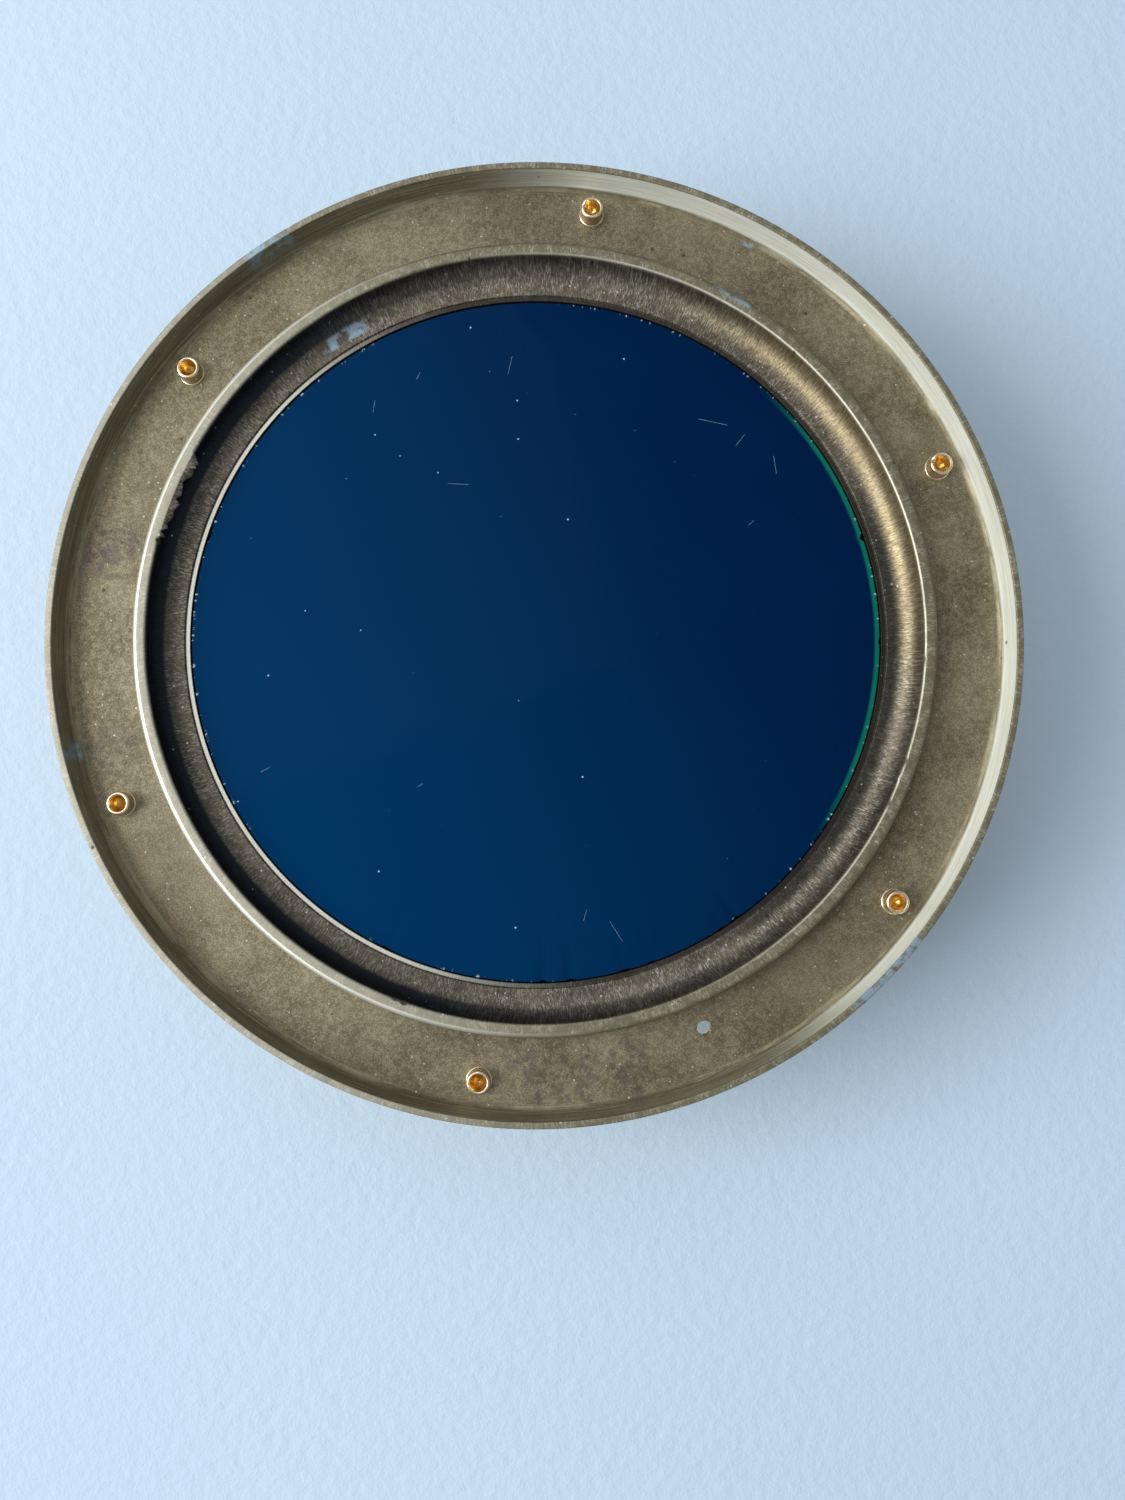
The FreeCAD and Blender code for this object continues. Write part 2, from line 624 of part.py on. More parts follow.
def make_dial_screws():
    """Four pan-head screws fix the dial to its bed."""
    screws = []
    for i in range(4):
        across, up = polar("dim.dial_screw_circle", 45 + 90 * i)
        corners = [
            ("0", f"{DIAL_FRONT} + 0.9"),
            ("1.2", f"{DIAL_FRONT} + 0.9"),
            ("1.9", f"{DIAL_FRONT} + 0.5"),
            ("1.9", DIAL_FRONT),
            ("1", DIAL_FRONT),
            ("1", f"{BED_FRONT} - 1.6"),
            ("0", f"{BED_FRONT} - 1.6"),
        ]
        screws.append(turned(f"dial_screw_{i + 1}", corners, across, up))
    return node(group("dial_screw_group", screws), "dial_screws")


def make_dial(dial_screws, flat_screws):
    bed = disc("bed_disc", "dim.dial_bed_radius", BED_REAR, BED_FRONT)
    openings = [
        rod("bed_centre_tool", "8", "0", "90"),
        rod("bed_fourth_tool", "2", "0", "90", "0", "dim.fourth_z"),
        rod("bed_winding_tool", "4.5", "0", "90", "0", "dim.barrel_z"),
        dial_screws, flat_screws,
    ]
    node(cut("bed_cut", bed, group("bed_tools", openings)), "dial_bed")
    face = disc("dial_disc", "dim.dial_bed_radius - 0.2", BED_FRONT, DIAL_FRONT)
    openings = [
        rod("dial_centre_tool", "5", "0", "90"),
        rod("dial_fourth_tool", "1.2", "0", "90", "0", "dim.fourth_z"),
        rod("dial_winding_tool", "4", "0", "90", "0", "dim.barrel_z"),
        dial_screws,
    ]
    node(cut("dial_cut", face, group("dial_tools", openings)), "dial_plate")
    surround = [
        ("dim.dial_bed_radius", DIAL_FRONT),
        ("dim.dial_bed_radius", "dim.drum_depth"),
        ("dim.dial_bed_radius - 1.2", "dim.drum_depth"),
        ("dim.surround_inner", f"{DIAL_FRONT} + 0.6"),
        ("dim.surround_inner", DIAL_FRONT),
    ]
    node(turned("surround", surround), "dial_surround")


PIVOTS = {
    # arbor: (x, z, pivot radius at the back plate, pivot radius at the front plate)
    "barrel": ("0", "dim.barrel_z", "3", "3"),
    "middle": ("dim.middle_x", "dim.middle_z", "0.7", "0.7"),
    "centre": ("0", "0", "1.2", "1.6"),
    "third": ("dim.third_x", "dim.third_z", "0.5", "0.5"),
    "fourth": ("0", "dim.fourth_z", "0.4", "0.6"),
    "escape": ("dim.escape_x", "dim.escape_z", "0.35", "0.35"),
    "lever": ("dim.lever_x", "dim.lever_z", "0.35", "0.35"),
    "balance": ("dim.balance_x", "dim.balance_z", "0.3", "0.3"),
}


def pivot_tools(side, column):
    tools = []
    for arbor, values in PIVOTS.items():
        radius = f"{values[column]} + dim.running"
        tools.append(rod(f"{arbor}_{side}_hole", radius, "0", "90", values[0], values[1]))
    return tools


def make_plates(flat_screws, click_screw, motion_stud):
    pillars = []
    for i in range(4):
        across, up = polar("dim.pillar_circle", 40 + 100 * i if i < 2 else 220 + 100 * (i - 2))
        corners = [
            ("0", "dim.back_plate_rear"),
            ("1.8", "dim.back_plate_rear"),
            ("1.8", BACK_INNER),
            ("dim.pillar_radius", BACK_INNER),
            ("dim.pillar_radius", f"{BACK_INNER} + 2.5"),
            ("dim.pillar_radius - 0.9", f"{BACK_INNER} + 4"),
            ("dim.pillar_radius - 0.9", "dim.front_plate_rear - 4"),
            ("dim.pillar_radius", "dim.front_plate_rear - 2.5"),
            ("dim.pillar_radius", "dim.front_plate_rear"),
            ("1.8", "dim.front_plate_rear"),
            ("1.8", FRONT_OUTER),
            ("2.8", FRONT_OUTER),
            ("2.8", f"{FRONT_OUTER} + 1.2"),
            ("0", f"{FRONT_OUTER} + 1.2"),
        ]
        pillars.append(turned(f"pillar_{i + 1}", corners, across, up))
    pillar_group = node(group("pillar_group", pillars), "plate_pillars")
    back = disc("back_disc", "dim.plate_radius", "dim.back_plate_rear", BACK_INNER)
    tools = pivot_tools("back", 2) + [pillar_group]
    node(cut("back_plate_cut", back, group("back_plate_tools", tools)), "back_plate")
    front = disc("front_disc", "dim.plate_radius", "dim.front_plate_rear", FRONT_OUTER)
    tools = pivot_tools("front", 3) + [pillar_group, flat_screws, click_screw, motion_stud]
    node(cut("front_plate_cut", front, group("front_plate_tools", tools)), "front_plate")


# ---------------------------------------------------------------- going train
WHEEL_TURN = {}
CENTRES = {
    "barrel": (0.0, size("dim.barrel_z")),
    "middle": (size("dim.middle_x"), size("dim.middle_z")),
    "centre": (0.0, 0.0),
    "third": (size("dim.third_x"), size("dim.third_z")),
    "fourth": (0.0, size("dim.fourth_z")),
    "escape": (size("dim.escape_x"), size("dim.escape_z")),
    "motion": (size("dim.motion_x"), size("dim.motion_z")),
}


PIVOT_REAR = "dim.back_plate_rear + 0.2"
PIVOT_FRONT = f"{FRONT_OUTER} - 0.2"


def staff(name, arbor, body_radius, front_end=PIVOT_FRONT):
    """A turned staff between the plates with a pivot at each end."""
    across, up, back_pivot, front_pivot = PIVOTS[arbor]
    back_shoulder = f"{BACK_INNER} + 0.1"
    front_shoulder = "dim.front_plate_rear - 0.1"
    corners = [
        ("0", PIVOT_REAR),
        (back_pivot, PIVOT_REAR),
        (back_pivot, back_shoulder),
        (body_radius, back_shoulder),
        (body_radius, front_shoulder),
        (front_pivot, front_shoulder),
        (front_pivot, front_end),
        ("0", front_end),
    ]
    return turned(name, corners, across, up)


def wheel_node(name, arbor, teeth, module, height, thickness, bore, turn, spokes=5):
    across, up = CENTRES[arbor]
    shape = wheel_shape(teeth, module, thickness, bore, spokes)
    return node(shaped(name + "_blank", shape, between(height), across, up, turn), name)


def pinion_arbor(name, arbor, teeth, module, height, length, seat, front_end=PIVOT_FRONT):
    """A steel arbor with its pinion in one piece: pinion, shouldered arbor and a pivot at each end."""
    across, up = CENTRES[arbor]
    turn, body_radius, seat_radius, seat_levels = seat
    toothed = prism([gear_wire(teeth, module)], length)
    leaves = shaped(name + "_leaves", toothed, between(height), across, up, turn)
    x_rule, z_rule = PIVOTS[arbor][:2]
    solids = [leaves, staff(name + "_staff", arbor, body_radius, front_end)]
    seat_rear, seat_front = [f"{BACK_INNER} + {level}" for level in seat_levels]
    solids.append(rod(name + "_seat", seat_radius, seat_rear, seat_front, x_rule, z_rule))
    return node(joined(name + "_whole", solids), name)


def make_train():
    """Barrel to escape wheel. Teeth and modules give 1/26, -1/4, 1, -8, 60 and -600 turns per hour."""
    at = CENTRES
    great_turn = 0.0
    middle_pinion_turn = mesh_turn(great_turn, 78, at["barrel"], 12, at["middle"])
    centre_pinion_turn = 0.0
    middle_wheel_turn = mesh_turn(centre_pinion_turn, 15, at["centre"], 60, at["middle"])
    centre_wheel_turn = 0.0
    third_pinion_turn = mesh_turn(centre_wheel_turn, 80, at["centre"], 10, at["third"])
    third_wheel_turn = 0.0
    fourth_pinion_turn = mesh_turn(third_wheel_turn, 75, at["third"], 10, at["fourth"])
    fourth_wheel_turn = 0.0
    escape_pinion_turn = mesh_turn(fourth_wheel_turn, 80, at["fourth"], 8, at["escape"])

    hand_end = "dim.minute_hand_rear + 2.4"
    seconds_end = "dim.seconds_hand_rear + 0.6"
    seat = (middle_pinion_turn, "1.5", "1.9", (3.5, 16.9))
    pinion_arbor("intermediate_arbor", "middle", 12, 0.6, 0.5, 3.0, seat)
    wheel_node("intermediate_wheel", "middle", 60, 0.6, 15.5, 1.2, 1.9, middle_wheel_turn)
    seat = (centre_pinion_turn, "2", "2.4", (12.7, 14.4))
    pinion_arbor("centre_arbor", "centre", 15, 0.6, 15.1, 2.2, seat, hand_end)
    wheel_node("centre_wheel", "centre", 80, 0.5, 13.0, 1.2, 2.4, centre_wheel_turn)
    seat = (third_pinion_turn, "1.2", "1.5", (8.3, 9.7))
    pinion_arbor("third_arbor", "third", 10, 0.5, 12.5, 2.2, seat)
    wheel_node("third_wheel", "third", 75, 0.42, 8.5, 1.0, 1.5, third_wheel_turn)
    seat = (fourth_pinion_turn, "1", "1.4", (3.3, 4.7))
    pinion_arbor("fourth_arbor", "fourth", 10, 0.42, 7.9, 2.2, seat, seconds_end)
    wheel_node("fourth_wheel", "fourth", 80, 0.36, 3.5, 1.0, 1.4, fourth_wheel_turn)
    seat = (escape_pinion_turn, "0.8", "1.1", (7.3, 8.2))
    pinion_arbor("escape_arbor", "escape", 8, 0.36, 2.9, 2.2, seat)
    make_barrel(great_turn)
    make_motion_work()
    make_escapement()


def spiral_shape(inner, outer, turns, thickness, height):
    """A flat strip coiled from an inner to an outer radius."""
    steps = int(turns * 12)

    def side(offset):
        points = []
        for i in range(steps + 1):
            share = i / steps
            points.append(at_angle(inner + (outer - inner) * share + offset, 2 * math.pi * turns * share))
        curve = Part.BSplineCurve()
        curve.interpolate(points)
        return curve.toShape(), points

    inside, low = side(-thickness / 2)
    outside, high = side(thickness / 2)
    ends = [Part.makeLine(low[-1], high[-1]), Part.makeLine(high[0], low[0])]
    return prism([Part.Wire([inside, ends[0], outside, ends[1]])], height)


def make_barrel(great_turn):
    """Drum with the great wheel cut on its base, its snap-in cover, the coiled mainspring and the arbor."""
    across, up = CENTRES["barrel"]
    wheel_rear = between(1.0)
    wheel_thick = 2.0
    top = size("dim.barrel_top")
    radius = size("dim.barrel_radius")
    arbor_clearance = 3 + size("dim.running")
    base = prism([gear_wire(78, 0.6), ring_wire(arbor_clearance)], wheel_thick)
    depth_of_drum = top - wheel_rear - wheel_thick
    wall = prism([ring_wire(radius), ring_wire(radius - 1)], depth_of_drum)
    wall.translate(Vector(0, 0, wheel_thick))
    drum = base.fuse(wall).removeSplitter()
    node(shaped("barrel_drum", drum, wheel_rear, across, up, great_turn), "mainspring_barrel")
    cover = prism([ring_wire(radius), ring_wire(arbor_clearance)], 1.0)
    node(shaped("barrel_lid", cover, top, across, up), "barrel_cover")
    turns = size("dim.spring_turns")
    strip = spiral_shape(5.0, radius - 1.6, turns, size("dim.spring_thick"), depth_of_drum - 1)
    node(shaped("spring_strip", strip, wheel_rear + wheel_thick + 0.5, across, up), "mainspring")
    arbor = [
        ("0", "dim.back_plate_rear + 0.2"), ("3", "dim.back_plate_rear + 0.2"), ("3", f"{BACK_INNER} + 3.1"),
        ("4.2", f"{BACK_INNER} + 3.1"), ("4.2", "dim.barrel_top - 0.2"), ("3", "dim.barrel_top - 0.2"),
        ("3", f"{FRONT_OUTER} + 0.3"), ("0", f"{FRONT_OUTER} + 0.3"),
    ]
    staff = turned("barrel_staff", arbor, "0", "dim.barrel_z")
    half = "1.9"
    square = block("winding_square", f"-{half}", half, f"{FRONT_OUTER} + 0.3", BED_FRONT,
                   f"dim.barrel_z - {half}", f"dim.barrel_z + {half}")
    node(joined("barrel_staff_whole", [staff, square]), "barrel_arbor")


RATCHET_TEETH = 24
RATCHET_TIP = 8.0
RATCHET_ROOT = 7.0
RATCHET_TURN = 6.5
CLICK_LIFT = 0.15


def ratchet_wire():
    """Saw teeth: a radial locking face and a long sloping back."""
    step = 2 * math.pi / RATCHET_TEETH
    corners = []
    for i in range(RATCHET_TEETH):
        corners.append(at_angle(RATCHET_TIP, i * step))
        corners.append(at_angle(RATCHET_ROOT, i * step + 0.12 * step))
    return Part.makePolygon(corners + corners[:1])


def make_ratchet():
    """Ratchet on the winding square. The click rests lifted just clear of the tooth tips."""
    across, up = CENTRES["barrel"]
    rear = size(f"{FRONT_OUTER} + 0.3")
    half = 1.9
    corners = [Vector(-half, -half, 0), Vector(half, -half, 0), Vector(half, half, 0), Vector(-half, half, 0)]
    teeth = ratchet_wire()
    teeth.rotate(Vector(0, 0, 0), Vector(0, 0, 1), RATCHET_TURN)
    wheel = prism([teeth, Part.makePolygon(corners + corners[:1])], 1.5)
    node(shaped("ratchet_blank", wheel, rear, across, up), "ratchet_wheel")


def make_click():
    """A pivoted click whose nose points at the ratchet, and the shouldered screw it turns on."""
    up = size("dim.barrel_z")
    rear = size(f"{FRONT_OUTER} + 0.3")
    pivot = Vector(size("dim.click_x"), size("dim.click_z - dim.barrel_z"), 0)
    nose_angle = math.radians(40)
    nose = at_angle(RATCHET_TIP + CLICK_LIFT, nose_angle)
    corners = [
        nose,
        nose + at_angle(1.8, nose_angle),
        pivot + at_angle(2.4, nose_angle),
        pivot + at_angle(2.4, nose_angle + math.pi),
        pivot + at_angle(2.2, math.radians(-60)),
        at_angle(RATCHET_TIP + 1.3, math.radians(50)),
    ]
    arm = prism([Part.makePolygon(corners + corners[:1])], 1.5)
    boss = Part.makeCylinder(2.4, 1.5, pivot)
    bore = Part.makeCylinder(1.2 + size("dim.running"), 1.5, pivot)
    node(shaped("click_arm", arm.fuse(boss).cut(bore).removeSplitter(), rear, 0, up), "click")
    screw = [
        ("0", "dim.front_plate_rear + 0.3"), ("1.2", "dim.front_plate_rear + 0.3"),
        ("1.2", f"{FRONT_OUTER} + 2.1"), ("2.2", f"{FRONT_OUTER} + 2.1"),
        ("2.2", f"{FRONT_OUTER} + 3.1"), ("0", f"{FRONT_OUTER} + 3.1"),
    ]
    return node(turned("click_pivot", screw, "dim.click_x", "dim.click_z"), "click_screw")


def wire_solids(points, half_width, height):
    """Straight runs of flat wire with a round corner at every point."""
    solids = []
    for start, end in zip(points, points[1:]):
        run = end - start
        bar = Part.makeBox(run.Length, 2 * half_width, height, Vector(0, -half_width, 0))
        bar.Placement = Placement(start, Rotation(Vector(0, 0, 1), math.degrees(math.atan2(run.y, run.x))))
        solids.append(bar)
        solids.append(Part.makeCylinder(half_width, height, end))
    return solids


def make_click_spring():
    """A bent wire spring that presses the click's tail."""
    up = size("dim.barrel_z")
    rear = size(f"{FRONT_OUTER} + 0.4")
    points = [Vector(15.5, 10.5, 0), Vector(12, 9.5, 0), Vector(8.2, 7.4, 0)]
    foot = Part.makeCylinder(1.6, 1.2, points[0])
    wire = foot.fuse(wire_solids(points, 0.3, 1.2)).removeSplitter()
    node(shaped("click_wire", wire, rear, 0, up), "click_spring")


def make_motion_work():
    """Cannon pinion 14 to minute wheel 42, minute pinion 12 to hour wheel 48: twelve to one."""
    centre = CENTRES["centre"]
    post = CENTRES["motion"]
    hour_module = 28 / 60
    cannon_turn = 0.0
    minute_turn = mesh_turn(cannon_turn, 14, centre, 42, post)
    pinion_turn = 0.0
    hour_turn = mesh_turn(pinion_turn, 12, post, 48, centre)
    cannon = shaped("cannon_leaves", prism([gear_wire(14, 0.5)], 1.6), beyond(0.5), 0, 0, cannon_turn)
    pipe = rod("cannon_pipe", "2.2", f"{FRONT_OUTER} + 2.1", "dim.minute_hand_rear + dim.hand_thick")
    bore = rod("cannon_bore", "1.6", "0", "90")
    node(cut("cannon_cut", joined("cannon_rough", [cannon, pipe]), bore), "cannon_pinion")
    wheel = wheel_shape(42, 0.5, 1.0, 1.3 + size("dim.running"), 0)
    leaves = prism([gear_wire(12, hour_module), ring_wire(1.3 + size("dim.running"))], 1.6)
    leaves.rotate(Vector(0, 0, 0), Vector(0, 0, 1), pinion_turn - minute_turn)
    leaves.translate(Vector(0, 0, 1.0))
    whole = shaped("minute_blank", wheel.fuse(leaves), beyond(0.7), post[0], post[1], minute_turn)
    node(whole, "minute_wheel")
    wheel = prism([gear_wire(48, hour_module), ring_wire(2.2 + size("dim.running"))], 1.0)
    tube_length = size("dim.hour_hand_rear + dim.hand_thick") - beyond(2.1)
    tube = prism([ring_wire(3.3), ring_wire(2.2 + size("dim.running"))], tube_length)
    node(shaped("hour_blank", wheel.fuse(tube).removeSplitter(), beyond(2.1), 0, 0, hour_turn), "hour_wheel")


def make_motion_stud():
    stud = [
        ("0", "dim.front_plate_rear + 0.3"), ("1.3", "dim.front_plate_rear + 0.3"),
        ("1.3", f"{FRONT_OUTER} + 3.5"), ("0", f"{FRONT_OUTER} + 3.5"),
    ]
    return node(turned("motion_post", stud, "dim.motion_x", "dim.motion_z"), "minute_wheel_stud")


# ---------------------------------------------------------------- escapement
ESCAPE_TEETH = 15
ESCAPE_TIP = 5.0
ESCAPE_ROOT = 3.9
STONE_CLEARANCE = 0.2


def escape_wheel_shape(thickness, bore):
    step = 2 * math.pi / ESCAPE_TEETH
    corners = []
    for i in range(ESCAPE_TEETH):
        axis = i * step
        corners.append(at_angle(ESCAPE_ROOT, axis - 0.20 * step))
        corners.append(at_angle(ESCAPE_TIP, axis))
        corners.append(at_angle(ESCAPE_TIP, axis + 0.10 * step))
        corners.append(at_angle(ESCAPE_ROOT, axis + 0.16 * step))
    wires = [Part.makePolygon(corners + corners[:1]), ring_wire(bore)]
    for i in range(4):
        wires.append(window_wire(bore + 0.6, ESCAPE_ROOT - 0.6, math.pi / 2 * (i + 0.5), math.pi / 4 * 0.7))
    return prism(wires, thickness)


def make_escapement():
    escape_at = CENTRES["escape"]
    node(shaped("escape_blank", escape_wheel_shape(0.5, 1.1), between(7.5), *escape_at), "escape_wheel")
    lever_at = (size("dim.lever_x"), size("dim.lever_z"))
    balance_at = (size("dim.balance_x"), size("dim.balance_z"))
    heading = math.degrees(math.atan2(balance_at[1] - lever_at[1], balance_at[0] - lever_at[0]))
    make_lever(lever_at, heading)
    make_balance(balance_at, heading)


def make_lever(lever_at, heading):
    """Pallet lever: two arms over the escape wheel, two stones and a forked tail toward the balance."""
    reach = math.dist(lever_at, CENTRES["escape"])
    half_span = math.radians(30)
    stone_radius = ESCAPE_TIP + STONE_CLEARANCE
    fork_end = 7.6
    stones = []
    arms = Part.makeCylinder(1.3, 0.8)
    for side in (-1, 1):
        tip = Vector(-reach, 0, 0) + at_angle(stone_radius, side * half_span)
        outward = (tip - Vector(-reach, 0, 0)).normalize()
        stone = Part.makeBox(1.5, 0.5, 0.8, Vector(0, -0.25, 0))
        stone.Placement = Placement(tip, Rotation(Vector(1, 0, 0), outward))
        stones.append(stone)
        root = tip + outward * 1.0
        arm_line = [
            root + Vector(-0.4, side * 0.75, 0),
            root + Vector(0.9, side * 0.75, 0),
            Vector(0.8, side * 1.0, 0),
            Vector(-0.6, side * 0.2, 0),
            root + Vector(0.3, side * -0.75, 0),
        ]
        arm = Part.Face(Part.makePolygon(arm_line + arm_line[:1])).extrude(Vector(0, 0, 0.8))
        arms = arms.fuse(arm)
    tail = Part.makeBox(fork_end, 1.0, 0.8, Vector(0, -0.5, 0))
    prongs = Part.makeBox(1.6, 2.6, 0.8, Vector(fork_end - 1.6, -1.3, 0))
    slot = Part.makeBox(1.3, 1.2, 0.8, Vector(fork_end - 1.3, -0.6, 0))
    lever = arms.fuse([tail, prongs]).cut(slot)
    for stone in stones:
        lever = lever.cut(stone)
    lever = lever.cut(Part.makeCylinder(0.7, 0.8)).removeSplitter()
    node(shaped("lever_blank", lever, between(7.3), *lever_at, heading), "pallet_lever")
    node(shaped("stones", Part.makeCompound(stones), between(7.3), *lever_at, heading), "pallet_stones")
    node(staff("lever_staff", "lever", "0.7"), "lever_arbor")


def make_balance(balance_at, heading):
    """Two-arm balance on its staff with the impulse roller, hairspring and regulator."""
    radius = size("dim.balance_radius")
    rim = prism([ring_wire(radius), ring_wire(radius - 1.3)], 1.2)
    bar = Part.makeBox(2 * radius - 1.6, 1.6, 0.7, Vector(0.8 - radius, -0.8, 0))
    hub = Part.makeCylinder(1.8, 0.7)
    bore = Part.makeCylinder(0.8, 1.2)
    wheel = rim.fuse([bar, hub]).cut(bore).removeSplitter()
    node(shaped("balance_rim", wheel, between(10.5), *balance_at, heading), "balance_wheel")
    roller = Part.makeCylinder(2.4, 0.6)
    pin = Part.makeCylinder(0.3, 1.6, Vector(-1.7, 0, -1.6))
    roller = shaped("roller_disc", roller.fuse(pin).removeSplitter(), between(8.8), *balance_at, heading)
    spindle = staff("balance_pin", "balance", "0.8")
    node(joined("balance_staff_whole", [spindle, roller]), "balance_staff")
    outside = size("dim.hairspring_radius")
    coil = spiral_shape(1.2, outside, size("dim.hairspring_turns"), 0.12, 0.5)
    collet = prism([ring_wire(1.25), ring_wire(0.8)], 0.5)
    node(shaped("hairspring_coil", coil.fuse(collet), between(13.3), *balance_at, heading), "hairspring")


def make_regulator():
    """Fast and slow lever: a ring round the balance pivot with a pointer and two curb pins."""
    across = size("dim.balance_x")
    up = size("dim.balance_z")
    heading = 20.0
    front = size("dim.front_plate_rear")
    thickness = 0.8
    ring = prism([ring_wire(2.6), ring_wire(1.25)], thickness)
    pointer = Part.makeBox(9.5, 1.2, thickness, Vector(2.2, -0.6, 0))
    curb = Part.makeBox(3.0, 1.0, thickness, Vector(-5.4, -0.5, 0))
    pins = []
    for offset in (4.75, 5.15):
        pins.append(Part.makeCylinder(0.12, 5.2, Vector(-offset, 0, -5.2)))
    lever = ring.fuse([pointer, curb] + pins).removeSplitter()
    node(shaped("regulator_arm", lever, front - thickness - 0.3, across, up, heading), "regulator")


# ---------------------------------------------------------------- hands
def blade_wire(points):
    return Part.makePolygon(points + points[:1])


def hand_shape(length, width, tail, boss, bore, thickness):
    """A lance hand: tapering stem, spearhead, point, counterpoise tail and bored boss."""
    spear = 0.66 * length
    stem = width * 0.32
    outline = [
        Vector(-stem, -tail, 0), Vector(-stem * 0.9, spear, 0), Vector(-width / 2, spear + 0.08 * length, 0),
        Vector(-0.15, length, 0), Vector(0.15, length, 0), Vector(width / 2, spear + 0.08 * length, 0),
        Vector(stem * 0.9, spear, 0), Vector(stem, -tail, 0),
    ]
    blade = prism([blade_wire(outline)], thickness)
    hub = Part.makeCylinder(boss, thickness)
    weight = Part.makeCylinder(width * 0.55, thickness, Vector(0, -tail, 0))
    return blade.fuse([hub, weight]).cut(Part.makeCylinder(bore, thickness)).removeSplitter()


HOUR_ANGLE = 304
MINUTE_ANGLE = 48
SECONDS_ANGLE = 210


def make_hands():
    """Hands stand at eight minutes past ten."""
    thickness = size("dim.hand_thick")
    hour = hand_shape(size("dim.hour_length"), 9, 12, 6.2, 3.3, thickness)
    node(shaped("hour_blade", hour, size("dim.hour_hand_rear"), 0, 0, -HOUR_ANGLE), "hour_hand")
    minute = hand_shape(size("dim.minute_length"), 7, 17, 4.8, 2.2, thickness)
    node(shaped("minute_blade", minute, size("dim.minute_hand_rear"), 0, 0, -MINUTE_ANGLE), "minute_hand")
    second = hand_shape(size("dim.seconds_length"), 1.4, 4, 1.6, 0.6, 0.4)
    rear = size("dim.seconds_hand_rear")
    node(shaped("seconds_blade", second, rear, 0, size("dim.fourth_z"), -SECONDS_ANGLE), "seconds_hand")
    seat = "dim.minute_hand_rear + dim.hand_thick"
    nut = [
        ("1.6", seat), ("3.4", seat), ("3.4", f"{seat} + 0.9"), ("2.4", f"{seat} + 1.9"),
        ("1.6", f"{seat} + 1.9"),
    ]
    node(turned("nut", nut), "hand_nut")


# ---------------------------------------------------------------- build and export
def check_document():
    doc.recompute()
    for thing in doc.Objects:
        bad = [state for state in thing.State if state in ("Invalid", "Error")]
        if bad:
            raise SystemExit(f"{thing.Label}: {bad}")


def export_nodes():
    os.makedirs("parts", exist_ok=True)
    for thing in NODES:
        shape = thing.Shape
        if shape.isNull() or not shape.isValid() or not shape.Solids:
            raise SystemExit(f"{thing.Label}: no valid solid")
        shape.exportStep(f"parts/{thing.Label}.step")
        print(f"{thing.Label}: {len(shape.Solids)} solid, {shape.Volume:.1f} mm3")
    print(f"{len(NODES)} nodes")


def main():
    make_rivets()
    flat_screws = make_flat_head_screws()
    bracket_screws = make_bracket_screws()
    dial_screws = make_dial_screws()
    make_flange()
    make_drum(flat_screws, bracket_screws)
    make_back_glass()
    make_bezel()
    make_hinge(bracket_screws)
    make_latch(bracket_screws)
    make_dog()
    make_spacers(flat_screws)
    make_dial(dial_screws, flat_screws)
    make_ratchet()
    click_screw = make_click()
    make_click_spring()
    motion_stud = make_motion_stud()
    make_plates(flat_screws, click_screw, motion_stud)
    make_train()
    make_regulator()
    make_hands()
    check_document()
    export_nodes()


main()
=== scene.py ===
"""The ship's deck clock lying on its face on a pale table, seen from behind.

Lengths are millimetres in the part's own frame, and become metres as they enter a mesh.
A depth is a distance in front of the rear rim plane, so a point at depth d has y = -d.
A clock angle turns clockwise from twelve o'clock as the dial is read, in degrees.
"""

import json
import math
import random

import bmesh
import bpy
from mathutils import Matrix, Vector

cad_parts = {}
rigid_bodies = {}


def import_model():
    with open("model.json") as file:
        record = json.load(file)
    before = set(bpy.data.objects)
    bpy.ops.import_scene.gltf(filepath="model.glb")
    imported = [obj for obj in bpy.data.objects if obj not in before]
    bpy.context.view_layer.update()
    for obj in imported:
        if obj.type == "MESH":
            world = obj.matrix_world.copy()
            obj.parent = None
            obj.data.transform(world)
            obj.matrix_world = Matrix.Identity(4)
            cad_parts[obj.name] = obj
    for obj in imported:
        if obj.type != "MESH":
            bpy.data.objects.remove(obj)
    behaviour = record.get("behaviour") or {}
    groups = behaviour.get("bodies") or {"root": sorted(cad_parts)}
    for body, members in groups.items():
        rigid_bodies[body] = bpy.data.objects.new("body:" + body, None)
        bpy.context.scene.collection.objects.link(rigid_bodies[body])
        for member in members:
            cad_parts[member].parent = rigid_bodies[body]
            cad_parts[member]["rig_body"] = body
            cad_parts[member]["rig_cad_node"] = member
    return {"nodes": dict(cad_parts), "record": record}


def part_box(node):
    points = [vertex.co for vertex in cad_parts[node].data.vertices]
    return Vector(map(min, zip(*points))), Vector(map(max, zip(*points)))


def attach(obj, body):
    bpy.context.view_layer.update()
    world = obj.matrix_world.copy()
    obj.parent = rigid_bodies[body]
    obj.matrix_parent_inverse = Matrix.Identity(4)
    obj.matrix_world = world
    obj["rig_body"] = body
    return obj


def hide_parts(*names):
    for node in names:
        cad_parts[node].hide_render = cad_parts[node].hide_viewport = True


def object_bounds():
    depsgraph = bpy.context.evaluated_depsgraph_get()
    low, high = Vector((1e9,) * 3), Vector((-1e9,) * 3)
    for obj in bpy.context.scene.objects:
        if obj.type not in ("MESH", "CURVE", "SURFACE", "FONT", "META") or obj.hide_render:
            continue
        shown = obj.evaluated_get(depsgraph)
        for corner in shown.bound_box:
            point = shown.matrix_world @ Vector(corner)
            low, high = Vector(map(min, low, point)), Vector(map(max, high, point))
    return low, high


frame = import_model()
cad_low, cad_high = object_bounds()

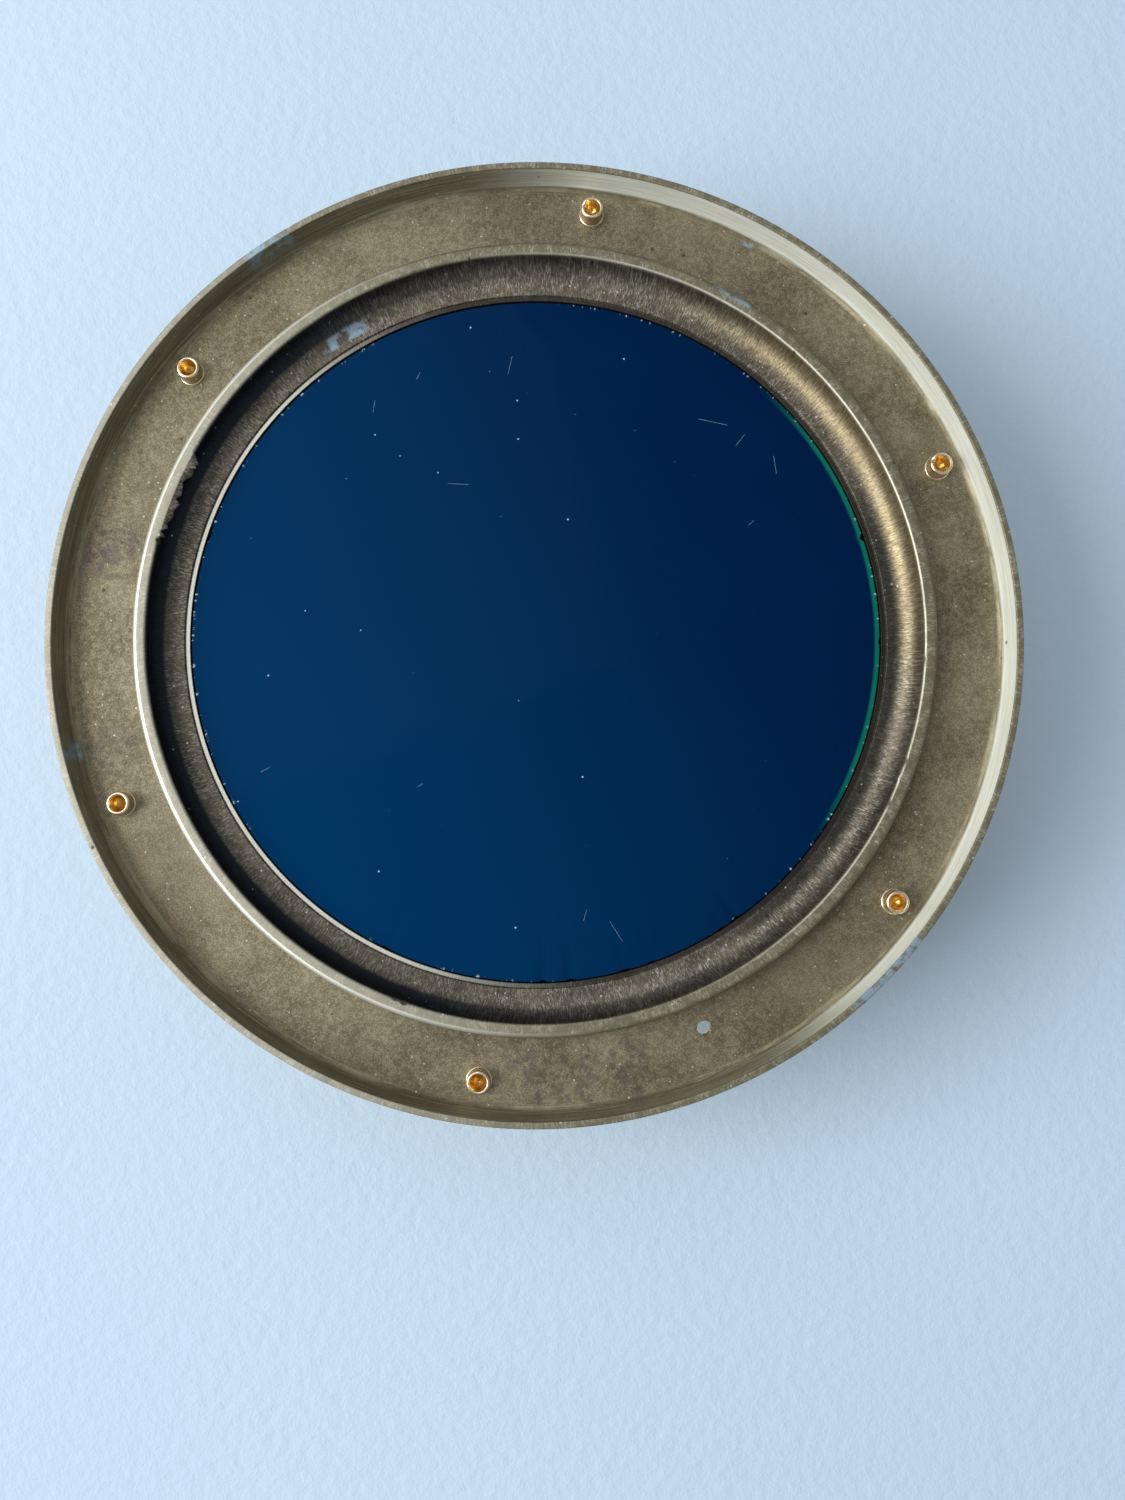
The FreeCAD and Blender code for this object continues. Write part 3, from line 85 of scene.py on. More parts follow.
MM = 0.001
FULL_TURN = 2 * math.pi

# ---------------------------------------------------------------- sizes of the case, millimetres
FLANGE_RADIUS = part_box("case_flange")[1].x / MM
RIM_WIDTH = 1.7
RIM_FOOT = FLANGE_RADIUS - 2.9
TROUGH_DEPTH = 7.0
WEB_FRONT = 10.0
LIP_OUTER = 103.0
LIP_INNER = 99.5
COVE_DEPTH = 7.0
BEAD_RADIUS = 91.8
STEP_DEPTH = 7.5
POCKET_RADIUS = 90.4
LEDGE_RADIUS = 86.5
LEDGE_FRONT = -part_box("case_flange")[0].y / MM
LEDGE_REAR = LEDGE_FRONT - 2.4
DRUM_RADIUS = 104.0
DRUM_FRONT = -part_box("case_drum")[0].y / MM
CHAMBER_RADIUS = 99.0
SHELF_RADIUS = 92.0
SHELF_THICK = 3.0
SHELF_REAR = -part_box("dial_bed")[1].y / MM
GLASS_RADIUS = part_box("back_glass")[1].x / MM
GLASS_REAR = -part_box("back_glass")[1].y / MM
GLASS_FRONT = -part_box("back_glass")[0].y / MM
RIVET_CIRCLE = 115.3
RIVET_CLOCKS = [30 + 60 * i for i in range(6)]
CHIPPED_RIVETS = (90, 150)
HANG_CIRCLE = 110.2
HANG_RADIUS = 1.9
BEZEL_RADIUS = 108.0
BEZEL_APERTURE = 90
BEZEL_SEAT = 94.2
BEZEL_LIP = 3
BEZEL_REAR = -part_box("bezel_ring")[1].y / MM
BEZEL_FRONT = -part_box("bezel_ring")[0].y / MM
DIAL_FRONT = -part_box("dial_plate")[0].y / MM
SECONDS_HEIGHT = 38.0
WINDING_HEIGHT = -33.62
PRINT_THICK = 0.03
TABLE_GAP = 0.4
WELD = 0.002 * MM
DIAL_SCREW_CIRCLE = 87.5
BRACKET_HEAD_TOP = 111.9
BRACKET_SCREW_DEPTH = 40.5


# ---------------------------------------------------------------- modelling helpers
def deselect():
    bpy.ops.object.select_all(action="DESELECT")


def pick(piece):
    """Make one object the only selected and active one."""
    deselect()
    piece.select_set(True)
    bpy.context.view_layer.objects.active = piece


def place(radius, clock, depth):
    """Point in metres at a radius, a clock angle and a depth."""
    angle = math.radians(clock)
    return Vector((radius * math.sin(angle), -depth, radius * math.cos(angle))) * MM


def settle(piece, smooth_angle=35):
    """Move the place and turn of an object into its mesh and shade its gentle edges smooth."""
    pick(piece)
    bpy.ops.object.transform_apply(location=True, rotation=True, scale=True)
    bpy.ops.object.shade_smooth_by_angle(angle=math.radians(smooth_angle))
    return piece


def apply_modifiers(piece):
    pick(piece)
    for modifier in list(piece.modifiers):
        bpy.ops.object.modifier_apply(modifier=modifier.name)


def rounded(corners, pieces=6):
    """Closed outline from (radius, depth, rounding) corners, each rounding made an arc."""
    outline = []
    for i, (across, depth, rounding) in enumerate(corners):
        here = Vector((across, depth))
        if not rounding:
            outline.append(here)
            continue
        back = (Vector(corners[i - 1][:2]) - here).normalized()
        ahead = (Vector(corners[(i + 1) % len(corners)][:2]) - here).normalized()
        half = back.angle(ahead) / 2
        centre = here + (back + ahead).normalized() * rounding / math.sin(half)
        start = here + back * rounding / math.tan(half) - centre
        end = here + ahead * rounding / math.tan(half) - centre
        for k in range(pieces + 1):
            outline.append(centre + start.lerp(end, k / pieces).normalized() * rounding)
    return outline


def divided(outline, longest):
    """Outline with extra points, so that no run is longer than the given length."""
    points = []
    for i, here in enumerate(outline):
        after = outline[(i + 1) % len(outline)]
        count = max(1, math.ceil((after - here).length / longest))
        for k in range(count):
            points.append(here.lerp(after, k / count))
    return points


def turned(name, outline, steps, across=0.0, up=0.0):
    """Spin a closed outline of (radius, depth) points about an axis parallel to Y."""
    deselect()
    first = outline[0]
    bpy.ops.mesh.primitive_plane_add(size=MM, location=((across + first.x) * MM, -first.y * MM, up * MM))
    piece = bpy.context.object
    piece.name = name
    bpy.ops.object.mode_set(mode="EDIT")
    bpy.ops.mesh.merge(type="CENTER")
    for here, after in zip(outline, outline[1:] + outline[:1]):
        step = ((after.x - here.x) * MM, (here.y - after.y) * MM, 0)
        bpy.ops.mesh.extrude_region_move(TRANSFORM_OT_translate={"value": step})
    bpy.ops.mesh.select_all(action="SELECT")
    bpy.ops.mesh.remove_doubles(threshold=WELD)
    bpy.ops.mesh.select_all(action="SELECT")
    bpy.ops.mesh.spin(steps=steps, angle=FULL_TURN, center=(across * MM, 0, up * MM), axis=(0, 1, 0))
    bpy.ops.mesh.select_all(action="SELECT")
    bpy.ops.mesh.remove_doubles(threshold=WELD)
    bpy.ops.mesh.normals_make_consistent(inside=False)
    bpy.ops.object.mode_set(mode="OBJECT")
    return settle(piece)


def nudge(piece, pulls):
    """Pull the mesh at each (spot, reach, move) as with a fingertip, fading out at the reach."""
    pick(piece)
    bpy.ops.object.mode_set(mode="EDIT")
    mesh = bmesh.from_edit_mesh(piece.data)
    for spot, reach, move in pulls:
        mesh.verts.ensure_lookup_table()
        for vertex in mesh.verts:
            vertex.select = False
        nearest = min(mesh.verts, key=lambda vertex: (vertex.co - spot).length_squared)
        nearest.select = True
        mesh.select_flush_mode()
        bpy.ops.transform.translate(
            value=move, use_proportional_edit=True, proportional_edit_falloff="SMOOTH",
            proportional_size=reach * MM)
    bpy.ops.object.mode_set(mode="OBJECT")


def carve(piece, cutter):
    """Take one object's shape out of another, and remove the cutter."""
    modifier = piece.modifiers.new("carve", "BOOLEAN")
    modifier.operation = "DIFFERENCE"
    modifier.solver = "EXACT"
    modifier.object = cutter
    apply_modifiers(piece)
    bpy.data.objects.remove(cutter)


def copied(piece, name, matrix):
    """A copy with its own mesh, moved by a matrix."""
    twin = piece.copy()
    twin.data = piece.data.copy()
    twin.data.transform(matrix)
    twin.name = name
    bpy.context.scene.collection.objects.link(twin)
    return twin


def joined(name, pieces):
    deselect()
    for piece in pieces:
        piece.select_set(True)
    bpy.context.view_layer.objects.active = pieces[0]
    bpy.ops.object.join()
    pieces[0].name = name
    return pieces[0]


def finish_piece(piece, material, body, slot, *nodes):
    """Give a piece its finish and its body, and hide the nodes it stands for; the slot is not used."""
    piece.data.materials.clear()
    piece.data.materials.append(material)
    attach(piece, body)
    if nodes:
        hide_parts(*nodes)
    return piece


# ---------------------------------------------------------------- shader helpers
class Tree:
    """A node tree with short ways to add the nodes that the finishes are made of."""

    def __init__(self, tree):
        self.tree = tree

    def add(self, kind, **settings):
        node = self.tree.nodes.new(kind)
        for key, value in settings.items():
            setattr(node, key, value)
        return node

    def feed(self, socket, value):
        """Link a socket to another, or set its own value."""
        if isinstance(value, bpy.types.NodeSocket):
            self.tree.links.new(value, socket)
        elif value is not None:
            socket.default_value = value

    def math(self, operation, first, second=None, clamp=False):
        node = self.add("ShaderNodeMath", operation=operation, use_clamp=clamp)
        self.feed(node.inputs[0], first)
        self.feed(node.inputs[1], second)
        return node.outputs[0]

    def step(self, value, low, high, start=0.0, end=1.0):
        """Smooth rise from start to end as the value goes from low to high."""
        node = self.add("ShaderNodeMapRange", interpolation_type="SMOOTHSTEP")
        for socket, item in zip(node.inputs[:5], (value, low, high, start, end)):
            self.feed(socket, item)
        return node.outputs[0]

    def band(self, value, low, high, soft):
        """One between low and high, falling to nothing over the soft width on either side."""
        rise = self.step(value, low - soft, low + soft)
        fall = self.step(value, high - soft, high + soft, 1.0, 0.0)
        return self.times(rise, fall)

    def times(self, first, second):
        return self.math("MULTIPLY", first, second)

    def mix(self, share, first, second):
        node = self.add("ShaderNodeMix", data_type="RGBA", clamp_factor=True)
        self.feed(node.inputs[0], share)
        self.feed(node.inputs[6], colour(first))
        self.feed(node.inputs[7], colour(second))
        return node.outputs[2]

    def noise(self, vector, scale, detail=3.0, roughness=0.6):
        node = self.add("ShaderNodeTexNoise")
        self.feed(node.inputs["Vector"], vector)
        node.inputs["Scale"].default_value = scale
        node.inputs["Detail"].default_value = detail
        node.inputs["Roughness"].default_value = roughness
        return node.outputs[0]

    def cells(self, vector, scale):
        node = self.add("ShaderNodeTexVoronoi")
        self.feed(node.inputs["Vector"], vector)
        self.feed(node.inputs["Scale"], scale)
        return node

    def stretch(self, vector, factors):
        node = self.add("ShaderNodeVectorMath", operation="MULTIPLY")
        self.feed(node.inputs[0], vector)
        node.inputs[1].default_value = factors
        return node.outputs[0]

    def group(self, group, **values):
        node = self.add("ShaderNodeGroup", node_tree=group)
        for key, value in values.items():
            self.feed(node.inputs[key.replace("_", " ").capitalize()], value)
        return node

    def bump(self, height, strength, distance):
        node = self.add("ShaderNodeBump")
        node.inputs["Strength"].default_value = strength
        node.inputs["Distance"].default_value = distance
        self.feed(node.inputs["Height"], height)
        return node.outputs[0]

    def object_place(self):
        return self.add("ShaderNodeTexCoord").outputs["Object"]


def colour(value):
    """A three-number colour as the four that a socket takes."""
    return (*value, 1.0) if isinstance(value, tuple) and len(value) == 3 else value


def new_group(name, inputs, outputs):
    """An empty node group with named sockets; each input is (name, socket kind, default)."""
    group = bpy.data.node_groups.new(name, "ShaderNodeTree")
    for label, kind, default in inputs:
        socket = group.interface.new_socket(label, in_out="INPUT", socket_type=kind)
        if default is not None:
            socket.default_value = default
    for label, kind in outputs:
        group.interface.new_socket(label, in_out="OUTPUT", socket_type=kind)
    tree = Tree(group)
    return group, tree, tree.add("NodeGroupInput").outputs, tree.add("NodeGroupOutput").inputs


def new_material(name, **constants):
    """A material with a Principled shader whose plain numbers are set on its own sockets."""
    material = bpy.data.materials.new(name)
    material.use_nodes = True
    tree = Tree(material.node_tree)
    tree.tree.nodes.clear()
    shader = tree.add("ShaderNodeBsdfPrincipled")
    output = tree.add("ShaderNodeOutputMaterial")
    tree.feed(output.inputs["Surface"], shader.outputs[0])
    for key, value in constants.items():
        shader.inputs[key.replace("_", " ")].default_value = colour(value)
    return material, tree, shader.inputs


FLOAT = "NodeSocketFloat"
VECTOR = "NodeSocketVector"
COLOUR = "NodeSocketColor"


def make_turned_place():
    """Where a point is on a turned piece: radius and depth in millimetres, and around and radial grain."""
    outputs = [("Radius", FLOAT), ("Depth", FLOAT), ("Clock", FLOAT),
               ("Radial grain", VECTOR), ("Ring grain", VECTOR)]
    group, tree, _, out = new_group("turned place", [], outputs)
    split = tree.add("ShaderNodeSeparateXYZ")
    tree.feed(split.inputs[0], tree.object_place())
    x, y, z = split.outputs
    square = tree.math("ADD", tree.times(x, x), tree.times(z, z))
    radius = tree.times(tree.math("SQRT", square), 1 / MM)
    clock = tree.times(tree.math("ARCTAN2", x, z), 180 / math.pi)
    flat = tree.math("MAXIMUM", radius, 0.001)
    side = tree.math("DIVIDE", x, tree.times(flat, MM))
    rise = tree.math("DIVIDE", z, tree.times(flat, MM))
    radial = tree.add("ShaderNodeCombineXYZ")
    tree.feed(radial.inputs[0], tree.times(side, 100.0))
    tree.feed(radial.inputs[1], tree.times(rise, 100.0))
    tree.feed(radial.inputs[2], tree.times(radius, 0.25))
    ring = tree.add("ShaderNodeCombineXYZ")
    tree.feed(ring.inputs[0], tree.times(side, 3.0))
    tree.feed(ring.inputs[1], tree.times(rise, 3.0))
    depth = tree.times(y, -1 / MM)
    tree.feed(ring.inputs[2], tree.math("ADD", radius, tree.times(depth, 1.7)))
    clock = tree.math("MODULO", tree.math("ADD", clock, 360.0), 360.0)
    for socket, value in zip(out, (radius, depth, clock, radial.outputs[0], ring.outputs[0])):
        tree.feed(socket, value)
    return group


def make_patina():
    """Aged brass: fine pale grain on a darker ground, with wide brown and purple stains."""
    inputs = [("Ground", COLOUR, (0.2, 0.17, 0.1, 1)), ("Grain", COLOUR, (0.5, 0.45, 0.3, 1)),
              ("Stain", COLOUR, (0.14, 0.09, 0.08, 1)), ("Grain amount", FLOAT, 0.6),
              ("Stain amount", FLOAT, 0.5)]
    outputs = [("Color", COLOUR), ("Roughness", FLOAT), ("Height", FLOAT)]
    group, tree, given, out = new_group("patina", inputs, outputs)
    spot = tree.object_place()
    fine = tree.noise(spot, 2600, 2.0, 0.7)
    middle = tree.noise(spot, 800, 3.0, 0.65)
    wide = tree.noise(spot, 60, 4.0, 0.6)
    broad = tree.noise(spot, 24, 3.0, 0.55)
    grain = tree.math("ADD", tree.times(fine, 0.6), tree.times(middle, 0.4))
    grain = tree.times(tree.step(grain, 0.42, 0.62), given["Grain amount"])
    soft = tree.times(tree.step(wide, 0.35, 0.7), 0.38)
    base = tree.mix(tree.math("ADD", grain, soft, True), given["Ground"], given["Grain"])
    stain = tree.times(tree.step(broad, 0.5, 0.68), tree.step(middle, 0.35, 0.6))
    stain = tree.times(stain, given["Stain amount"])
    tree.feed(out["Color"], tree.mix(stain, base, given["Stain"]))
    tree.feed(out["Roughness"], tree.step(wide, 0.3, 0.7, 0.48, 0.58))
    tree.feed(out["Height"], tree.math("ADD", tree.times(fine, 0.7), middle))
    return group


def make_flecks():
    """Scattered dots: a mask that is one on a few small round cells."""
    inputs = [("Scale", FLOAT, 300.0), ("Share", FLOAT, 0.1), ("Size", FLOAT, 0.2)]
    group, tree, given, out = new_group("flecks", inputs, [("Mask", FLOAT)])
    cell = tree.cells(tree.object_place(), given["Scale"])
    lot = tree.add("ShaderNodeSeparateColor")
    tree.feed(lot.inputs[0], cell.outputs["Color"])
    chosen = tree.math("LESS_THAN", lot.outputs[0], given["Share"])
    size = tree.times(given["Size"], tree.math("ADD", lot.outputs[1], 0.3))
    near = tree.math("LESS_THAN", cell.outputs["Distance"], size)
    tree.feed(out["Mask"], tree.times(chosen, near))
    return group


TURNED_PLACE = make_turned_place()
PATINA = make_patina()
FLECKS = make_flecks()


# ---------------------------------------------------------------- finishes
# clock from, clock to, radius from, radius to
VERDIGRIS = [(189, 195, 122.6, 125.5), (17, 28, 123.2, 125.5), (261.2, 263, 121.4, 123.6),
             (186, 194, 93.5, 96.5), (128.6, 129.8, 119.8, 121.2), (124, 130, 101.5, 104.2)]
# shade, clock from, clock to, strength
PURPLE_STAINS = [(0.06, 232, 240, 0.5), (0.05, 334, 352, 0.45), (0.05, 260, 266, 0.35)]


def cast_brass():
    """Unlacquered brass casting: olive-brown trough, brown cove with radial scratches, turned rims, and
    painted highlights and painted shade where the window light falls.
    """
    material, tree, shader = new_material("cast_brass")
    spot = tree.group(TURNED_PLACE).outputs
    radius, depth, clock = spot["Radius"], spot["Depth"], spot["Clock"]
    streak = tree.noise(spot["Radial grain"], 3.2, 3.0, 0.75)
    lines = tree.noise(spot["Ring grain"], 2.2, 3.0, 0.7)
    mottle = tree.noise(tree.object_place(), 330, 3.0)
    # side masks that place the painted light: the side away from the window, whose inward walls face the
    # window, and the window side
    side_away_from_window = tree.band(clock, 12.0, 158.0, 16.0)
    window_side = tree.band(clock, 190.0, 330.0, 22.0)

    # trough floor, with a painted shadow where it meets the lip on the side away from the window
    floor = tree.group(PATINA, ground=(0.13, 0.1, 0.055, 1), grain=(0.4, 0.335, 0.21, 1),
                       stain=(0.1, 0.062, 0.045, 1), stain_amount=0.3).outputs
    lip_foot_shade = tree.times(tree.band(radius, LIP_OUTER - 0.5, LIP_OUTER + 2.0, 1.8), side_away_from_window)
    base = tree.mix(tree.times(lip_foot_shade, 0.6), floor["Color"], (0.06, 0.043, 0.024))
    for shade, low, high, amount in PURPLE_STAINS:
        patch = tree.times(tree.band(clock, low, high, 2.0), tree.band(radius, 106.0, 121.5, 2.5))
        patch = tree.times(patch, tree.step(mottle, 0.45, 0.6))
        base = tree.mix(tree.times(patch, amount), base, (shade * 1.6, shade, shade * 1.25))

    # cove: painted highlight on the side away from the window, where the wall faces the window; painted
    # shade by the pane on that side, and on the wall that faces away from the window
    cove = tree.group(PATINA, ground=(0.085, 0.064, 0.044, 1), grain=(0.22, 0.175, 0.12, 1),
                      stain=(0.03, 0.027, 0.027, 1), grain_amount=0.5, stain_amount=0.6).outputs
    in_cove = tree.band(radius, BEAD_RADIUS - 1.5, LIP_INNER + 0.15, 0.15)
    scratched = tree.times(tree.step(streak, 0.46, 0.64), tree.step(mottle, 0.35, 0.6, 0.3, 0.9))
    cove_colour = tree.mix(scratched, cove["Color"], (0.46, 0.41, 0.33))
    # painted shade: on the window side the cove wall faces away from the window
    cove_colour = tree.mix(tree.times(window_side, 0.4), cove_colour, (0.03, 0.025, 0.02))
    # painted highlight, golden and broken by the scratches, on the cove wall that faces the window
    cove_highlight = tree.times(tree.band(clock, 62.0, 128.0, 16.0), tree.step(radius, 93.5, 96.5))
    cove_highlight = tree.times(cove_highlight, tree.step(streak, 0.36, 0.6, 0.15, 0.75))
    cove_colour = tree.mix(cove_highlight, cove_colour, (0.4, 0.3, 0.15))
    # painted shade on the inner cove by the pane, on the side away from the window
    cove_shade = tree.times(tree.band(clock, 8.0, 92.0, 12.0), tree.step(radius, 96.5, 93.5))
    cove_colour = tree.mix(tree.times(cove_shade, 0.75), cove_colour, (0.03, 0.027, 0.022))
    # painted shade, near black, on the upper cove wall on the window side, which faces away from the window
    shaded = tree.times(tree.step(radius, 96.2, 97.2), tree.step(depth, 0.6, 1.0))
    shaded = tree.times(shaded, tree.step(window_side, 0.0, 1.0, 0.35, 0.92))
    shaded = tree.times(shaded, tree.math("SUBTRACT", 1.0, side_away_from_window))
    cove_colour = tree.mix(shaded, cove_colour, (0.012, 0.016, 0.024))
    base = tree.mix(in_cove, base, cove_colour)

    # rims: turning lines and cross marks on the flat tops, a painted highlight on the tops on the window
    # side, and a painted highlight on the inner wall of the outer rim on the side away from the window
    on_rim = tree.math("MAXIMUM", tree.step(radius, RIM_FOOT - 2.5, RIM_FOOT - 0.5),
                       tree.band(radius, LIP_INNER, LIP_OUTER + 0.4, 0.1))
    turned_lines = tree.mix(tree.step(lines, 0.42, 0.62), (0.13, 0.1, 0.055), (0.4, 0.34, 0.21))
    base = tree.mix(tree.times(on_rim, 0.6), base, turned_lines)
    on_top = tree.times(tree.step(depth, 0.35, 0.05), tree.step(radius, LIP_INNER, LIP_INNER + 0.3))
    marks = tree.times(tree.step(streak, 0.42, 0.62), tree.step(mottle, 0.35, 0.65))
    top_colour = tree.mix(marks, (0.2, 0.165, 0.1), (0.46, 0.4, 0.28))
    # painted highlight: the tops are paler on the window side
    top_colour = tree.mix(tree.times(window_side, 0.4), top_colour, (0.62, 0.57, 0.47))
    base = tree.mix(on_top, base, top_colour)
    # painted highlight: the inner wall of the outer rim is pale where it faces the window
    lit_rim_wall = tree.band(radius, RIM_FOOT - 0.1, FLANGE_RADIUS - RIM_WIDTH + 0.1, 0.3)
    lit_rim_wall = tree.times(lit_rim_wall, tree.step(depth, 0.2, 0.5))
    lit_rim_wall = tree.times(lit_rim_wall, tree.step(side_away_from_window, 0.0, 1.0, 0.1, 1.0))
    rim_highlight_colour = tree.mix(tree.step(lines, 0.3, 0.7), (0.74, 0.7, 0.56), (0.95, 0.93, 0.82))
    base = tree.mix(tree.times(lit_rim_wall, 0.9), base, rim_highlight_colour)

    # painted highlights on the edges that face the window: outside of the lip on one side, inside on the
    # other, and the bead by the pane
    outer_edge = tree.times(tree.band(radius, LIP_OUTER - 1.2, LIP_OUTER + 0.15, 0.12), window_side)
    inner_edge = tree.times(tree.band(radius, LIP_INNER - 0.1, LIP_INNER + 0.45, 0.1), side_away_from_window)
    inner_edge = tree.times(inner_edge, 0.5)
    edge_highlight = tree.times(tree.math("MAXIMUM", outer_edge, inner_edge), tree.step(depth, 1.6, 0.2))
    bead_highlight = tree.times(tree.band(radius, POCKET_RADIUS + 0.1, BEAD_RADIUS - 0.3, 0.15), window_side)
    edge_and_bead_highlight = tree.math("MAXIMUM", tree.times(bead_highlight, 0.8), edge_highlight)
    base = tree.mix(tree.times(edge_and_bead_highlight, 0.8), base, (0.88, 0.82, 0.68))
    # painted shade in the groove between the bead and the pane
    groove_shade = tree.step(radius, BEAD_RADIUS - 0.05, BEAD_RADIUS - 0.4)
    groove_shade = tree.times(groove_shade, tree.step(depth, COVE_DEPTH + 0.1, COVE_DEPTH + 0.3))
    groove_shade = tree.times(groove_shade, tree.math("SUBTRACT", 0.85, bead_highlight, True))
    base = tree.mix(groove_shade, base, (0.03, 0.022, 0.016))

    for low, high, inner, outer in VERDIGRIS:
        spot_mask = tree.times(tree.band(clock, low, high, 0.5), tree.band(radius, inner, outer, 0.4))
        spot_mask = tree.times(spot_mask, tree.step(mottle, 0.38, 0.55))
        base = tree.mix(tree.times(spot_mask, 0.75), base, (0.33, 0.47, 0.56))
    pits = tree.group(FLECKS, scale=420.0, share=0.02, size=0.18).outputs[0]
    base = tree.mix(tree.times(pits, 0.7), base, (0.03, 0.025, 0.02))
    glints = tree.group(FLECKS, scale=900.0, share=0.05, size=0.2).outputs[0]
    base = tree.mix(tree.times(glints, 0.5), base, (0.9, 0.87, 0.74))

    tree.feed(shader["Base Color"], base)
    metal = tree.math("SUBTRACT", 0.66, tree.times(lit_rim_wall, 0.5))
    tree.feed(shader["Metallic"], tree.math("ADD", metal, tree.times(in_cove, 0.2)))
    smoother = tree.math("MAXIMUM", tree.times(edge_and_bead_highlight, 0.6), tree.times(in_cove, 0.4))
    tree.feed(shader["Roughness"], tree.math("SUBTRACT", floor["Roughness"], tree.times(smoother, 0.14)))
    height = tree.math("ADD", floor["Height"], tree.times(streak, in_cove))
    height = tree.math("SUBTRACT", height, tree.times(pits, 2.0))
    tree.feed(shader["Normal"], tree.bump(height, 0.3, 0.00014))
    return material


def polished_brass():
    """Hand-polished brass with a light haze, brush lines and a little tarnish."""
    material, tree, shader = new_material("polished_brass", Metallic=1.0)
    spot = tree.group(TURNED_PLACE).outputs
    haze = tree.noise(tree.object_place(), 45, 4.0, 0.6)
    lines = tree.noise(spot["Ring grain"], 3.5, 2.0, 0.6)
    base = tree.mix(tree.step(haze, 0.42, 0.72), (0.86, 0.63, 0.27), (0.66, 0.45, 0.18))
    spots = tree.group(FLECKS, scale=260.0, share=0.05, size=0.2).outputs[0]
    tree.feed(shader["Base Color"], tree.mix(tree.times(spots, 0.4), base, (0.3, 0.18, 0.08)))
    rough = tree.math("ADD", tree.step(haze, 0.35, 0.7, 0.16, 0.3), tree.times(lines, 0.06))
    tree.feed(shader["Roughness"], rough)
    tree.feed(shader["Normal"], tree.bump(lines, 0.12, 0.00004))
    return material


def fine_metal(name, light, dark, roughness, grain_axis=(1.0, 1.0, 1.0)):
    """Machined metal with a straight grain, small colour changes and a roughness to match."""
    material, tree, shader = new_material(name, Metallic=1.0)
    spot = tree.stretch(tree.object_place(), grain_axis)
    grain = tree.noise(spot, 900, 3.0, 0.7)
    haze = tree.noise(tree.object_place(), 90, 3.0, 0.55)
    base = tree.mix(tree.step(haze, 0.4, 0.7), light, dark)
    tree.feed(shader["Base Color"], tree.mix(tree.times(grain, 0.3), base, dark))
    tree.feed(shader["Roughness"], tree.step(grain, 0.3, 0.7, roughness, roughness + 0.12))
    tree.feed(shader["Normal"], tree.bump(grain, 0.12, 0.00003))
    return material


def rivet_brass():
    """Bright turned rivets: pale outside, deep amber in the bore as painted shade and glow."""
    material, tree, shader = new_material("rivet_brass", Metallic=1.0)
    bore = tree.add("ShaderNodeAttribute", attribute_name="bore").outputs["Fac"]
    haze = tree.noise(tree.object_place(), 700, 3.0, 0.6)
    outside = tree.mix(tree.step(haze, 0.4, 0.65), (0.95, 0.8, 0.6), (0.75, 0.53, 0.3))
    # painted shade and glow: the bore is a darker, deeper amber copy of the outside brass
    inside = tree.mix(tree.step(haze, 0.4, 0.65), (0.85, 0.52, 0.12), (0.5, 0.24, 0.04))
    tree.feed(shader["Base Color"], tree.mix(bore, outside, inside))
    tree.feed(shader["Roughness"], tree.step(haze, 0.3, 0.7, 0.2, 0.38))
    tree.feed(shader["Normal"], tree.bump(haze, 0.15, 0.00004))
    return material


